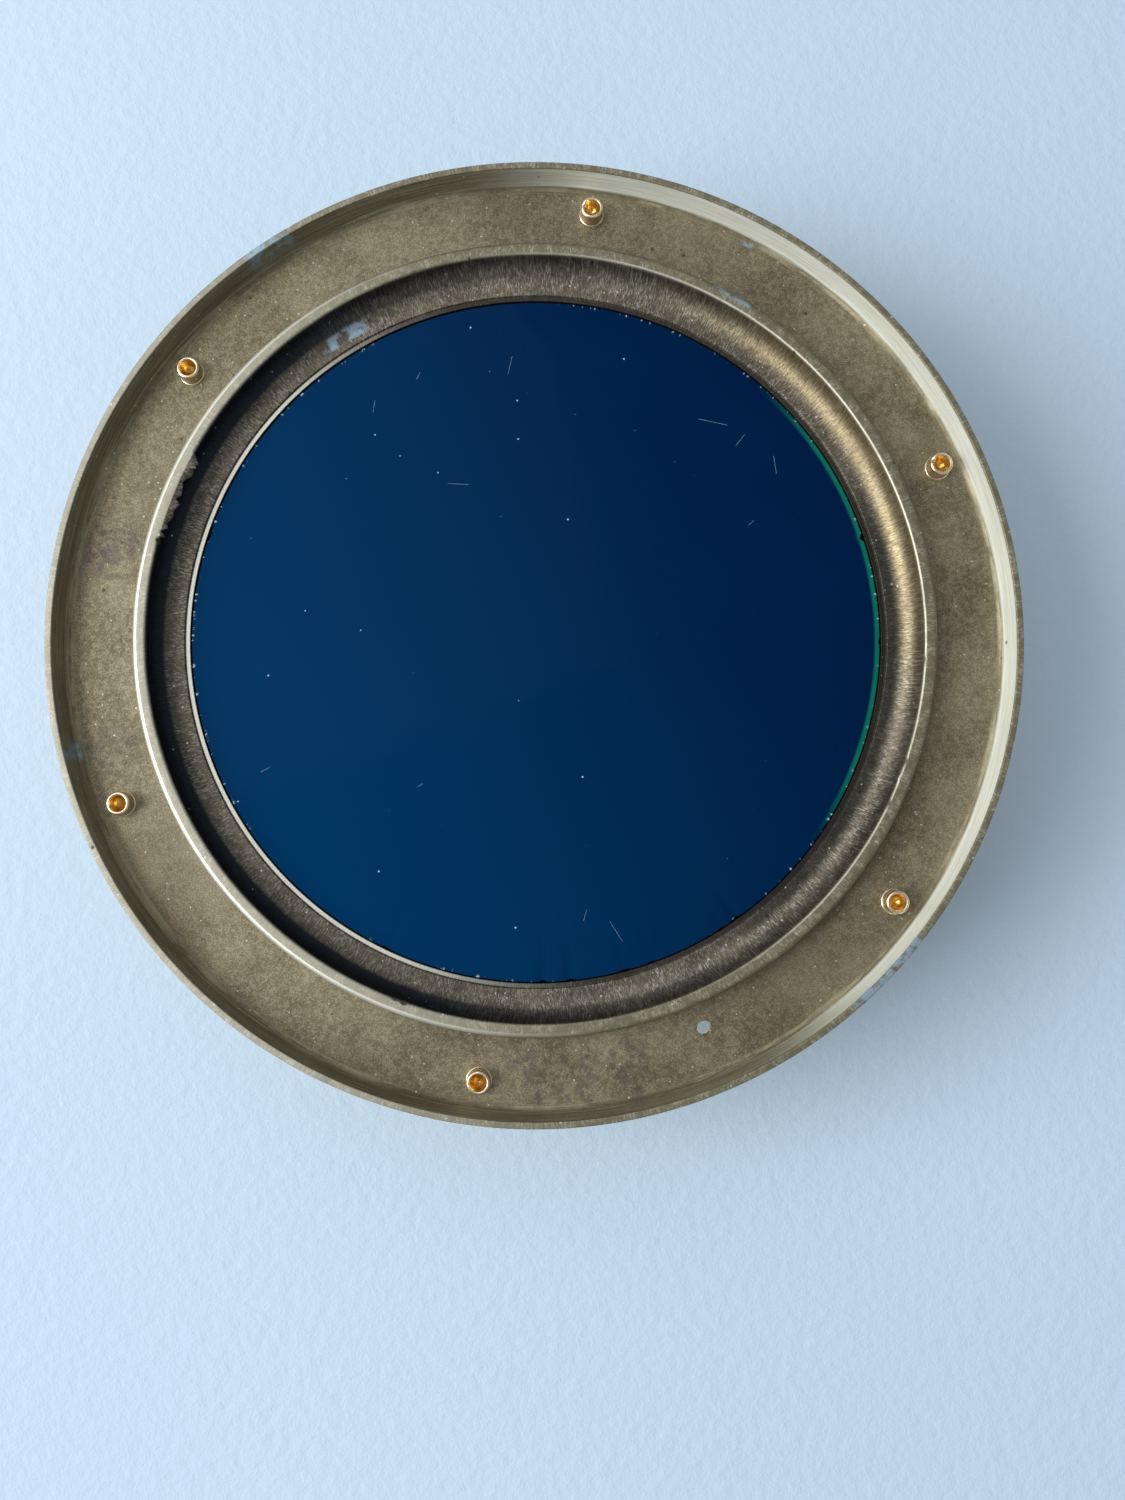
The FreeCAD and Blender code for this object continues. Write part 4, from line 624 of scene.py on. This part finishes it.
def blue_glass():
    """Back pane: glass with dark navy behind it, a painted reflection lighter towards the window, a green
    edge painted lit on one side, dust, and painted highlights on chipped slivers.
    """
    material, tree, shader = new_material("blue_glass", Metallic=0.0, IOR=1.45, Specular_IOR_Level=0.02)
    spot = tree.group(TURNED_PLACE).outputs
    radius, clock = spot["Radius"], spot["Clock"]
    cloud = tree.noise(tree.object_place(), 14, 2.0, 0.5)
    # painted reflection: the pane is lighter towards the window side
    across = tree.add("ShaderNodeSeparateXYZ")
    tree.feed(across.inputs[0], tree.object_place())
    light_tint = tree.step(across.outputs[0], -GLASS_RADIUS * MM, GLASS_RADIUS * MM, 1.0, 0.0)
    base = tree.mix(light_tint, (0.0003, 0.0105, 0.048), (0.0003, 0.034, 0.105))
    base = tree.mix(tree.step(cloud, 0.35, 0.7, 0.0, 0.2), base, (0.0003, 0.025, 0.085))
    # the green edge is the glass's own colour, painted only on the side where the bright wall opposite the
    # window lights it: partly painted light
    rim = tree.step(radius, GLASS_RADIUS - 1.8, GLASS_RADIUS - 0.9)
    side = tree.band(clock, 38.0, 108.0, 9.0)
    green = tree.times(rim, side)
    base = tree.mix(green, base, (0.004, 0.15, 0.1))
    thin = tree.times(tree.step(radius, GLASS_RADIUS - 0.35, GLASS_RADIUS - 0.1), 0.5)
    base = tree.mix(thin, base, (0.006, 0.02, 0.022))
    # painted highlights on the chipped slivers at the rim
    chip_noise = tree.noise(spot["Radial grain"], 0.75, 3.0, 0.7)
    chip_highlights = tree.step(radius, GLASS_RADIUS - 0.9, GLASS_RADIUS - 0.2)
    chip_highlights = tree.times(chip_highlights, tree.step(chip_noise, 0.6, 0.66))
    chip_highlights = tree.times(chip_highlights, tree.step(cloud, 0.42, 0.52))
    dust = tree.group(FLECKS, scale=260.0, share=0.09, size=0.05).outputs[0]
    fine_dust = tree.group(FLECKS, scale=620.0, share=0.03, size=0.12).outputs[0]
    base = tree.mix(tree.times(fine_dust, 0.25), base, (0.3, 0.42, 0.5))
    base = tree.mix(tree.math("MAXIMUM", chip_highlights, tree.times(dust, 0.7)), base, (0.6, 0.7, 0.72))
    tree.feed(shader["Base Color"], base)
    wipe = tree.noise(tree.stretch(tree.object_place(), (1.0, 1.0, 3.0)), 30, 3.0, 0.6)
    rough = tree.math("ADD", tree.step(wipe, 0.3, 0.7, 0.05, 0.11), tree.times(dust, 0.5))
    tree.feed(shader["Roughness"], rough)
    return material


def clear_glass():
    """Bezel glass with a faint smear."""
    material, tree, shader = new_material("clear_glass", Metallic=0.0, Transmission_Weight=1.0, IOR=1.05,
                                          Base_Color=(0.97, 0.99, 0.98))
    smear = tree.noise(tree.object_place(), 60, 3.0, 0.6)
    tree.feed(shader["Roughness"], tree.step(smear, 0.45, 0.75, 0.0, 0.03))
    return material


def dial_enamel():
    """Ivory dial paint, a little yellowed towards its edge, with a faint fine texture."""
    material, tree, shader = new_material("dial_enamel", Metallic=0.0, Coat_Roughness=0.2)
    spot = tree.group(TURNED_PLACE).outputs
    age = tree.step(spot["Radius"], 50.0, 95.0)
    wide = tree.noise(tree.object_place(), 22, 4.0, 0.6)
    yellow = tree.times(age, tree.step(wide, 0.35, 0.7))
    base = tree.mix(yellow, (0.82, 0.8, 0.72), (0.72, 0.66, 0.5))
    specks = tree.group(FLECKS, scale=380.0, share=0.03, size=0.12).outputs[0]
    tree.feed(shader["Base Color"], tree.mix(tree.times(specks, 0.5), base, (0.3, 0.22, 0.13)))
    fine = tree.noise(tree.object_place(), 1500, 2.0, 0.5)
    tree.feed(shader["Roughness"], tree.step(wide, 0.3, 0.7, 0.38, 0.5))
    tree.feed(shader["Normal"], tree.bump(fine, 0.06, 0.00003))
    return material


def plain_paint(name, light, dark, roughness, scale=500):
    """A dull coating with slight changes of colour and sheen."""
    material, tree, shader = new_material(name, Metallic=0.0)
    grain = tree.noise(tree.object_place(), scale, 3.0, 0.65)
    tree.feed(shader["Base Color"], tree.mix(tree.step(grain, 0.35, 0.7), light, dark))
    tree.feed(shader["Roughness"], tree.step(grain, 0.3, 0.7, roughness, roughness + 0.12))
    tree.feed(shader["Normal"], tree.bump(grain, 0.1, 0.00004))
    return material


def blued_steel():
    """Heat-blued steel, from deep blue to a little violet."""
    material, tree, shader = new_material("blued_steel", Metallic=1.0)
    heat = tree.noise(tree.object_place(), 55, 3.0, 0.5)
    base = tree.mix(tree.step(heat, 0.35, 0.7), (0.012, 0.03, 0.2), (0.05, 0.02, 0.16))
    tree.feed(shader["Base Color"], base)
    tree.feed(shader["Roughness"], tree.step(heat, 0.3, 0.7, 0.18, 0.28))
    return material


def table_paint():
    """Pale blue-white table with a faint plaster texture; from behind it lets everything through."""
    material, tree, shader = new_material("table_paint", Metallic=0.0, Specular_IOR_Level=0.15)
    spot = tree.object_place()
    wide = tree.noise(spot, 3.0, 3.0, 0.5)
    fine = tree.noise(spot, 260, 4.0, 0.65)
    base = tree.mix(tree.step(wide, 0.3, 0.7), (0.58, 0.69, 0.8), (0.61, 0.715, 0.82))
    specks = tree.group(FLECKS, scale=45.0, share=0.05, size=0.035).outputs[0]
    tree.feed(shader["Base Color"], tree.mix(tree.times(specks, 0.35), base, (0.3, 0.34, 0.38)))
    shader["Roughness"].default_value = 0.75
    tree.feed(shader["Normal"], tree.bump(fine, 0.5, 0.0009))
    surface = shader["Base Color"].node.outputs[0]
    clear = tree.add("ShaderNodeBsdfTransparent").outputs[0]
    seen = tree.add("ShaderNodeLightPath").outputs["Is Camera Ray"]
    rear = tree.add("ShaderNodeNewGeometry").outputs["Backfacing"]
    shown = tree.times(seen, tree.math("SUBTRACT", 1.0, rear))
    choice = tree.add("ShaderNodeMixShader")
    tree.feed(choice.inputs[0], shown)
    tree.feed(choice.inputs[1], clear)
    tree.feed(choice.inputs[2], surface)
    output = next(node for node in tree.tree.nodes if node.type == "OUTPUT_MATERIAL")
    tree.feed(output.inputs["Surface"], choice.outputs[0])
    return material


FINISHES = {
    "cast_brass": cast_brass(),
    "polished_brass": polished_brass(),
    "movement_brass": fine_metal("movement_brass", (0.86, 0.67, 0.34), (0.62, 0.45, 0.2), 0.24,
                                 (1.0, 1.0, 0.08)),
    "rivet_brass": rivet_brass(),
    "blue_glass": blue_glass(),
    "clear_glass": clear_glass(),
    "steel": fine_metal("steel", (0.62, 0.62, 0.64), (0.4, 0.4, 0.42), 0.2),
    "blued_steel": blued_steel(),
    "spring_steel": fine_metal("spring_steel", (0.3, 0.34, 0.42), (0.16, 0.18, 0.24), 0.28),
    "dial_enamel": dial_enamel(),
    "black_rubber": plain_paint("black_rubber", (0.012, 0.012, 0.012), (0.03, 0.03, 0.03), 0.7),
    "ruby": plain_paint("ruby", (0.5, 0.01, 0.05), (0.3, 0.0, 0.03), 0.08),
    "balance_alloy": fine_metal("balance_alloy", (0.9, 0.72, 0.4), (0.7, 0.5, 0.24), 0.15),
}
PRINT = plain_paint("dial_print", (0.012, 0.012, 0.013), (0.025, 0.024, 0.022), 0.35)
SCRATCH = plain_paint("scratch_white", (0.32, 0.42, 0.5), (0.12, 0.22, 0.3), 0.6, 900)


def dress_nodes():
    """Give every carried-over node the finish of its material slot."""
    for row in frame["record"]["subparts"]:
        piece = frame["nodes"][row["node"]]
        piece.data.materials.clear()
        piece.data.materials.append(FINISHES[row["material_slot"]])


# ---------------------------------------------------------------- case
# the torn stretch of lip as clock angles, and nicks in its inner edge as (clock, outward)
TEAR_START = 220.5
TEAR_STEP = 0.56
LIP_NICKS = [(318.1, 0.8), (316.4, 0.4), (41.0, 0.5), (44.5, -0.4), (47.5, 0.5), (176.0, 0.4), (63.0, 0.3)]

def make_flange():
    """Rear casting with its rims, trough, cove and glass seat, a torn stretch of lip and small nicks."""
    corners = [
        (FLANGE_RADIUS, 0, 0.3),
        (FLANGE_RADIUS, WEB_FRONT, 4.0),
        (DRUM_RADIUS, WEB_FRONT, 1.0),
        (DRUM_RADIUS, LEDGE_FRONT, 0),
        (LEDGE_RADIUS, LEDGE_FRONT, 0),
        (LEDGE_RADIUS, LEDGE_REAR, 0),
        (POCKET_RADIUS, LEDGE_REAR, 0),
        (POCKET_RADIUS, STEP_DEPTH, 0.1),
        (BEAD_RADIUS - 0.2, STEP_DEPTH, 0.1),
        (BEAD_RADIUS, COVE_DEPTH, 0.22),
        (LIP_INNER - 0.3, COVE_DEPTH, 6.0),
        (LIP_INNER, 0, 0.7),
        (LIP_OUTER, 0, 1.4),
        (LIP_OUTER + 0.5, TROUGH_DEPTH, 1.0),
        (RIM_FOOT, TROUGH_DEPTH, 2.2),
        (FLANGE_RADIUS - RIM_WIDTH, 0, 0.3),
    ]
    piece = turned("case_flange_casting", divided(rounded(corners, 7), 3.0), 540)
    pulls = []
    chance = random.Random(5)
    for i in range(24):
        clock = TEAR_START + TEAR_STEP * i
        inward = 1.5 + 0.7 * math.sin(i * 0.5) + chance.uniform(-0.8, 0.7)
        move = place(-inward, clock, 0) + Vector((0, chance.uniform(-0.25, 0.1) * MM, 0))
        pulls.append((place(LIP_INNER, clock, 0.5), chance.uniform(0.7, 1.3), move))
    pulls.append((place(LIP_INNER, 234.2, 0.5), 1.4, place(0.7, 234.2, 0)))
    for clock, outward in LIP_NICKS:
        pulls.append((place(LIP_INNER, clock, 0.4), 1.5, place(outward, clock, 0)))
    for _ in range(26):
        clock = chance.uniform(0, 360)
        edge = chance.choice([LIP_INNER, LIP_OUTER, FLANGE_RADIUS - RIM_WIDTH, FLANGE_RADIUS - 0.2])
        reach = chance.uniform(1.2, 3.0)
        dent = Vector((0, -chance.uniform(0.05, 0.18) * MM, 0))
        pulls.append((place(edge, clock, 0.3), reach, dent))
    nudge(piece, pulls)
    deselect()
    bpy.ops.mesh.primitive_cylinder_add(vertices=48, radius=HANG_RADIUS * MM, depth=8 * MM,
                                        location=place(HANG_CIRCLE, 0, 8.5), rotation=(math.pi / 2, 0, 0))
    cutter = bpy.context.object
    carve(piece, cutter)
    settle(piece, 30)
    finish_piece(piece, FINISHES["cast_brass"], "case", "cast_brass", "case_flange")


def make_drum():
    """Tube of the case, with the shelf inside that carries the dial bed."""
    corners = [
        (DRUM_RADIUS, LEDGE_FRONT, 0.15),
        (DRUM_RADIUS, DRUM_FRONT, 0.4),
        (CHAMBER_RADIUS, DRUM_FRONT, 0.3),
        (CHAMBER_RADIUS, SHELF_REAR, 0),
        (SHELF_RADIUS, SHELF_REAR, 0.2),
        (SHELF_RADIUS, SHELF_REAR - SHELF_THICK, 0.2),
        (CHAMBER_RADIUS, SHELF_REAR - 2 * SHELF_THICK, 0.5),
        (CHAMBER_RADIUS, LEDGE_FRONT, 0),
    ]
    piece = turned("case_drum_tube", rounded(corners, 5), 320)
    finish_piece(piece, FINISHES["polished_brass"], "case", "polished_brass", "case_drum")


def make_rivets():
    """One turned rivet, copied to six places; two tails are chipped at the mouth."""
    tail, bore, head, top = 3.0, 1.8, 8.0, 3.2
    head_edge, head_height = 0.9, 4.5
    corners = [
        (bore, top, 0.3),
        (tail, top, 0.55),
        (tail, TROUGH_DEPTH - 0.15, 0.3),
        (tail + 0.4, TROUGH_DEPTH, 0.1),
        (tail, TROUGH_DEPTH + 0.3, 0),
        (tail, WEB_FRONT, 0),
        (head, WEB_FRONT, 0.15),
        (head, WEB_FRONT + head_edge, 0.3),
    ]
    outline = rounded(corners, 5)
    for i in range(1, 12):
        angle = math.radians(8 * i)
        rise = (head_height - head_edge) * math.sin(angle)
        outline.append(Vector((head * math.cos(angle), WEB_FRONT + head_edge + rise)))
    floor = top + 3.2
    outline += [Vector((0.01, WEB_FRONT + head_height)), Vector((0.01, floor)),
                Vector((bore * 0.6, floor - 0.4)), Vector((bore, floor - 1.2))]
    master = turned("rivet", outline, 64)
    # mark the bore, where the finish paints its shade and glow
    inside = master.data.attributes.new("bore", "FLOAT", "POINT")
    for vertex, value in zip(master.data.vertices, inside.data):
        radius = math.hypot(vertex.co.x, vertex.co.z) / MM
        depth = -vertex.co.y / MM
        value.value = float(radius < bore + 0.12 and top + 0.25 < depth < WEB_FRONT)
    for number, clock in enumerate(RIVET_CLOCKS, start=1):
        shift = Matrix.Translation(place(RIVET_CIRCLE, clock, 0))
        spin = Matrix.Rotation(math.radians(37 * number), 4, "Y")
        rivet = copied(master, f"dome_rivet_{number}", shift @ spin)
        if clock in CHIPPED_RIVETS:
            chip = place(RIVET_CIRCLE, clock, top) + Vector((-1.4, 0.0, -1.6)) * MM
            nudge(rivet, [(chip, 1.2, Vector((0.3, -1.1, 0.5)) * MM),
                          (chip, 0.7, Vector((-0.3, 0.35, 0.2)) * MM)])
        finish_piece(rivet, FINISHES["rivet_brass"], "case", "rivet_brass", "dome_rivets")
    bpy.data.objects.remove(master)


# clock angles of the bites, and the scratches as (radius, clock, length, slant)
PANE_CHIPS = [230.6, 312.0, 66.0, 84.0, 338.0, 343.0, 352.0, 356.5, 8.7, 12.0]
PANE_SCRATCHES = [(76.6, 181.8, 2.2, 40), (75.2, 192.6, 3.4, 60), (45.3, 184.9, 5.5, -25),
                  (75.3, 111.3, 4.0, 30), (78.0, 103.0, 5.0, 75), (74.2, 346.9, 3.0, 50),
                  (80.0, 352.0, 6.0, 100), (78.9, 274.2, 2.5, 5), (73.1, 163.0, 5.0, 55),
                  (74.0, 118.0, 8.0, -35), (64.0, 95.0, 2.0, 20), (50.0, 300.0, 1.6, 10)]

def make_back_glass():
    """The pane with a ground edge, small bites out of its rim, and the scratches that lie on it."""
    corners = [
        (0.01, GLASS_REAR, 0),
        (GLASS_RADIUS, GLASS_REAR, 0.3),
        (GLASS_RADIUS, GLASS_FRONT, 0.3),
        (0.01, GLASS_FRONT, 0),
    ]
    piece = turned("back_pane", divided(rounded(corners, 4), 12.0), 480)
    chance = random.Random(8)
    pulls = []
    for clock in PANE_CHIPS:
        bite = chance.uniform(0.25, 0.7)
        reach = chance.uniform(1.0, 2.2)
        pulls.append((place(GLASS_RADIUS, clock, GLASS_REAR + 0.2), reach, place(-bite, clock, bite)))
    nudge(piece, pulls)
    settle(piece, 30)
    finish_piece(piece, FINISHES["blue_glass"], "case", "blue_glass", "back_glass")
    strokes = []
    for radius, clock, length, slant in PANE_SCRATCHES:
        deselect()
        bpy.ops.mesh.primitive_cube_add(
            size=1, location=place(radius, clock, GLASS_REAR - 0.004), rotation=(0, math.radians(slant), 0),
            scale=(length * MM, 0.012 * MM, 0.07 * MM))
        strokes.append(bpy.context.object)
        bpy.ops.object.mode_set(mode="EDIT")
        bpy.ops.mesh.subdivide(number_cuts=3)
        bpy.ops.mesh.vertices_smooth(factor=0.3)
        bpy.ops.object.mode_set(mode="OBJECT")
    scratches = settle(joined("glass_scratches", strokes))
    finish_piece(scratches, SCRATCH, "case", "blue_glass")


# ---------------------------------------------------------------- bezel and fittings
def make_bezel():
    """Hinged glazing ring: a flat band, a stepped roll and a bevel down to the aperture."""
    front = BEZEL_FRONT
    corners = [
        (BEZEL_RADIUS, BEZEL_REAR, 0.4),
        (BEZEL_RADIUS, BEZEL_REAR + 7, 0.8),
        (BEZEL_RADIUS - 2, BEZEL_REAR + 7.6, 0.5),
        (BEZEL_RADIUS - 3, front - 1.4, 1.2),
        (BEZEL_RADIUS - 5, front, 1.2),
        (95, front, 0.8),
        (93, front - 1.2, 0.6),
        (BEZEL_APERTURE, front - 2.2, 0.3),
        (BEZEL_APERTURE, front - BEZEL_LIP, 0),
        (BEZEL_SEAT, front - BEZEL_LIP, 0),
        (BEZEL_SEAT, BEZEL_REAR, 0.3),
    ]
    piece = turned("bezel_casting", rounded(corners, 6), 384)
    finish_piece(piece, FINISHES["polished_brass"], "bezel", "polished_brass", "bezel_ring")


def refined(node, width, body):
    """A copy of a node with merged faces, eased edges and smooth shading."""
    source = frame["nodes"][node]
    piece = copied(source, node + "_eased", Matrix.Identity(4))
    piece.parent = None
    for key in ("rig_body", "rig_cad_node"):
        if key in piece:
            del piece[key]
    pick(piece)
    bpy.ops.object.mode_set(mode="EDIT")
    bpy.ops.mesh.select_all(action="SELECT")
    bpy.ops.mesh.remove_doubles(threshold=WELD / 2)
    bpy.ops.mesh.dissolve_limited(angle_limit=math.radians(1))
    bpy.ops.object.mode_set(mode="OBJECT")
    bevel = piece.modifiers.new("eased", "BEVEL")
    bevel.width = width * MM
    bevel.segments = 2
    bevel.limit_method = "ANGLE"
    bevel.angle_limit = math.radians(35)
    apply_modifiers(piece)
    pick(piece)
    bpy.ops.object.shade_smooth_by_angle(angle=math.radians(32))
    slot = next(row["material_slot"] for row in frame["record"]["subparts"] if row["node"] == node)
    return finish_piece(piece, FINISHES[slot], body, slot, node)


def make_screws():
    """Screws with a driver slot sawn across each head, no two turned alike."""
    chance = random.Random(3)
    dial_slots = []
    for i in range(4):
        spot = place(DIAL_SCREW_CIRCLE, 45 + 90 * i, DIAL_FRONT + 0.85)
        dial_slots.append((spot, (5, 0.7, 0.7), (0, chance.uniform(0, math.pi), 0)))
    bracket_slots = []
    for side, up in ((-1, -8.0), (-1, 8.0), (1, 10.5), (1, 17.5)):
        spot = Vector((side * BRACKET_HEAD_TOP, -BRACKET_SCREW_DEPTH, up)) * MM
        bracket_slots.append((spot, (1.1, 0.7, 6), (chance.uniform(0, math.pi), 0, 0)))
    for node, width, slots in (("dial_screws", 0.08, dial_slots), ("bracket_screws", 0.2, bracket_slots)):
        piece = refined(node, width, "case")
        bars = []
        for spot, size, turn in slots:
            deselect()
            bpy.ops.mesh.primitive_cube_add(size=MM, location=spot, rotation=turn, scale=size)
            bars.append(bpy.context.object)
        carve(piece, settle(joined("slot_cutter", bars)))


def make_fittings():
    """Hinge, latch, hands and rings with eased edges, each as (width of the easing, body)."""
    eased = {
        "hinge_bracket": (0.35, "case"), "latch_bracket": (0.35, "case"), "hinge_pin": (0.3, "case"),
        "latch_stud": (0.3, "case"), "bezel_knuckle": (0.25, "bezel"), "bezel_catch": (0.35, "bezel"),
        "latch_dog": (0.3, "latch"), "hour_hand": (0.12, "hour"), "minute_hand": (0.12, "centre"),
        "seconds_hand": (0.08, "fourth"), "hand_nut": (0.15, "centre"),
        "glass_retaining_ring": (0.3, "bezel"), "dial_surround": (0.15, "case"),
    }
    for node, (width, body) in eased.items():
        refined(node, width, body)


# ---------------------------------------------------------------- dial printing
def ring(name, radius, width, across=0.0, up=0.0):
    """A printed circle."""
    rear = DIAL_FRONT - PRINT_THICK / 2
    front = DIAL_FRONT + PRINT_THICK
    inner, outer = radius - width / 2, radius + width / 2
    outline = [Vector((inner, rear)), Vector((outer, rear)), Vector((outer, front)), Vector((inner, front))]
    return turned(name, outline, 180, across, up)


def ticks(name, count, radius, length, width, up=0.0):
    """Printed strokes round a circle: one bar, turned about the centre in equal steps."""
    deselect()
    middle = Vector((0, -DIAL_FRONT, up + radius)) * MM
    size = Vector((width, 2 * PRINT_THICK, length)) * MM
    bpy.ops.mesh.primitive_cube_add(size=1, location=middle, scale=size)
    piece = bpy.context.object
    piece.name = name
    bpy.ops.object.mode_set(mode="EDIT")
    bpy.ops.mesh.select_all(action="SELECT")
    bpy.ops.mesh.spin(steps=count, angle=FULL_TURN, center=(0, 0, up * MM), axis=(0, 1, 0), dupli=True)
    bpy.ops.mesh.select_all(action="SELECT")
    bpy.ops.mesh.remove_doubles(threshold=WELD)
    bpy.ops.object.mode_set(mode="OBJECT")
    return settle(piece)


def numeral(text, size, across, up):
    """One printed number, made a mesh while it still has its own place."""
    deselect()
    bpy.ops.object.text_add(location=Vector((across, -DIAL_FRONT, up)) * MM, rotation=(math.pi / 2, 0, 0))
    words = bpy.context.object
    words.data.body = text
    words.data.size = size * MM
    words.data.align_x = "CENTER"
    words.data.align_y = "CENTER"
    words.data.extrude = PRINT_THICK * MM
    words.data.resolution_u = 6
    bpy.ops.object.convert(target="MESH")
    return bpy.context.object


def make_printing():
    """Minute track, hour numerals and the seconds dial, printed in black."""
    hours = []
    for hour in range(1, 13):
        angle = math.radians(30 * hour)
        hours.append(numeral(str(hour), 17, 70 * math.sin(angle), 70 * math.cos(angle)))
    small = []
    for text, degrees in (("60", 0), ("15", 90), ("30", 180), ("45", 270)):
        angle = math.radians(degrees)
        small.append(numeral(text, 4, 10.2 * math.sin(angle), SECONDS_HEIGHT + 10.2 * math.cos(angle)))
    numerals = settle(joined("dial_numerals", hours + small))
    tracks = joined("dial_tracks", [
        ring("outer_line", 88.2, 0.35), ring("inner_line", 83.6, 0.35),
        ring("seconds_line", 16.2, 0.25, 0, SECONDS_HEIGHT),
        ring("seconds_inner", 13.2, 0.2, 0, SECONDS_HEIGHT),
        ticks("minutes", 60, 85.9, 4.6, 0.45), ticks("fives", 12, 85.9, 4.6, 1.5),
        ticks("seconds", 60, 14.7, 3.0, 0.18, SECONDS_HEIGHT),
        ticks("tens", 12, 14.7, 3.0, 0.5, SECONDS_HEIGHT),
    ])
    for piece in (numerals, tracks):
        finish_piece(piece, PRINT, "case", "dial_enamel")
    inner, outer, front = 4.0, 5.2, DIAL_FRONT + 0.35
    corners = [
        (inner, DIAL_FRONT - 0.3, 0),
        (outer, DIAL_FRONT - 0.02, 0.1),
        (outer, front, 0.2),
        (inner, front, 0.2),
    ]
    eyelet = turned("winding_eyelet", rounded(corners, 4), 72, 0, WINDING_HEIGHT)
    finish_piece(eyelet, FINISHES["polished_brass"], "case", "polished_brass")


# ---------------------------------------------------------------- table, light and camera
def make_table():
    """Plane that the bezel lies on, facing the back of the clock."""
    deselect()
    below = cad_low.y - TABLE_GAP * MM
    bpy.ops.mesh.primitive_plane_add(size=6.0, location=(0, below, 0), rotation=(-math.pi / 2, 0, 0))
    table = bpy.context.object
    table.name = "table"
    settle(table)
    table.data.materials.append(table_paint())


def area_light(name, place_at, size, power, light_tint, aim=(0, 0, 0)):
    lamp = bpy.data.lights.new(name, "AREA")
    lamp.shape = "RECTANGLE"
    lamp.size, lamp.size_y = size
    lamp.energy = power
    lamp.color = light_tint
    light = bpy.data.objects.new(name, lamp)
    light.location = place_at
    light.rotation_euler = (Vector(aim) - Vector(place_at)).to_track_quat("-Z", "Y").to_euler()
    light.visible_camera = False
    light.visible_transmission = False
    bpy.context.scene.collection.objects.link(light)


def make_light():
    """Pale room, a window and ceiling for the back, and two lamps for the dial side."""
    world = bpy.data.worlds.new("room")
    world.use_nodes = True
    sky = world.node_tree.nodes["Background"].inputs
    sky["Color"].default_value = (0.66, 0.75, 0.83, 1)
    sky["Strength"].default_value = 0.5
    bpy.context.scene.world = world
    area_light("window", (-1.4, 1.1, -0.38), (1.2, 1.2), 33, (0.9, 0.96, 1.0))
    area_light("ceiling", (-0.32, 1.35, -0.78), (1.3, 1.3), 6, (0.92, 0.97, 1.0))
    area_light("dial_key", (-0.7, -1.1, 0.9), (0.7, 0.7), 14, (1.0, 0.98, 0.94))
    area_light("dial_fill", (0.9, -1.0, 0.2), (0.8, 0.8), 6, (0.92, 0.96, 1.0))


CAMERA_LENS = 27.05
CAMERA_PLACE = Vector((-0.0187, 0.2840, 0.0524))
CAMERA_RIGHT = Vector((0.9218, 0.0123, 0.3874))
CAMERA_DOWN = Vector((-0.3851, -0.0851, 0.9189))

def make_camera():
    """Camera over the back of the clock, rolled so that twelve o'clock points down and to the right."""
    data = bpy.data.cameras.new("camera")
    data.lens = CAMERA_LENS
    camera = bpy.data.objects.new("camera", data)
    ahead = CAMERA_RIGHT.cross(CAMERA_DOWN).normalized()
    turn = Matrix((CAMERA_RIGHT, -CAMERA_DOWN, -ahead)).transposed()
    camera.matrix_world = Matrix.Translation(CAMERA_PLACE) @ turn.to_4x4()
    bpy.context.scene.collection.objects.link(camera)
    bpy.context.scene.camera = camera


def main():
    bpy.context.scene.view_settings.view_transform = "Standard"
    make_camera()
    dress_nodes()
    make_flange()
    make_drum()
    make_rivets()
    make_back_glass()
    make_bezel()
    make_fittings()
    make_screws()
    make_printing()
    make_table()
    make_light()


main()
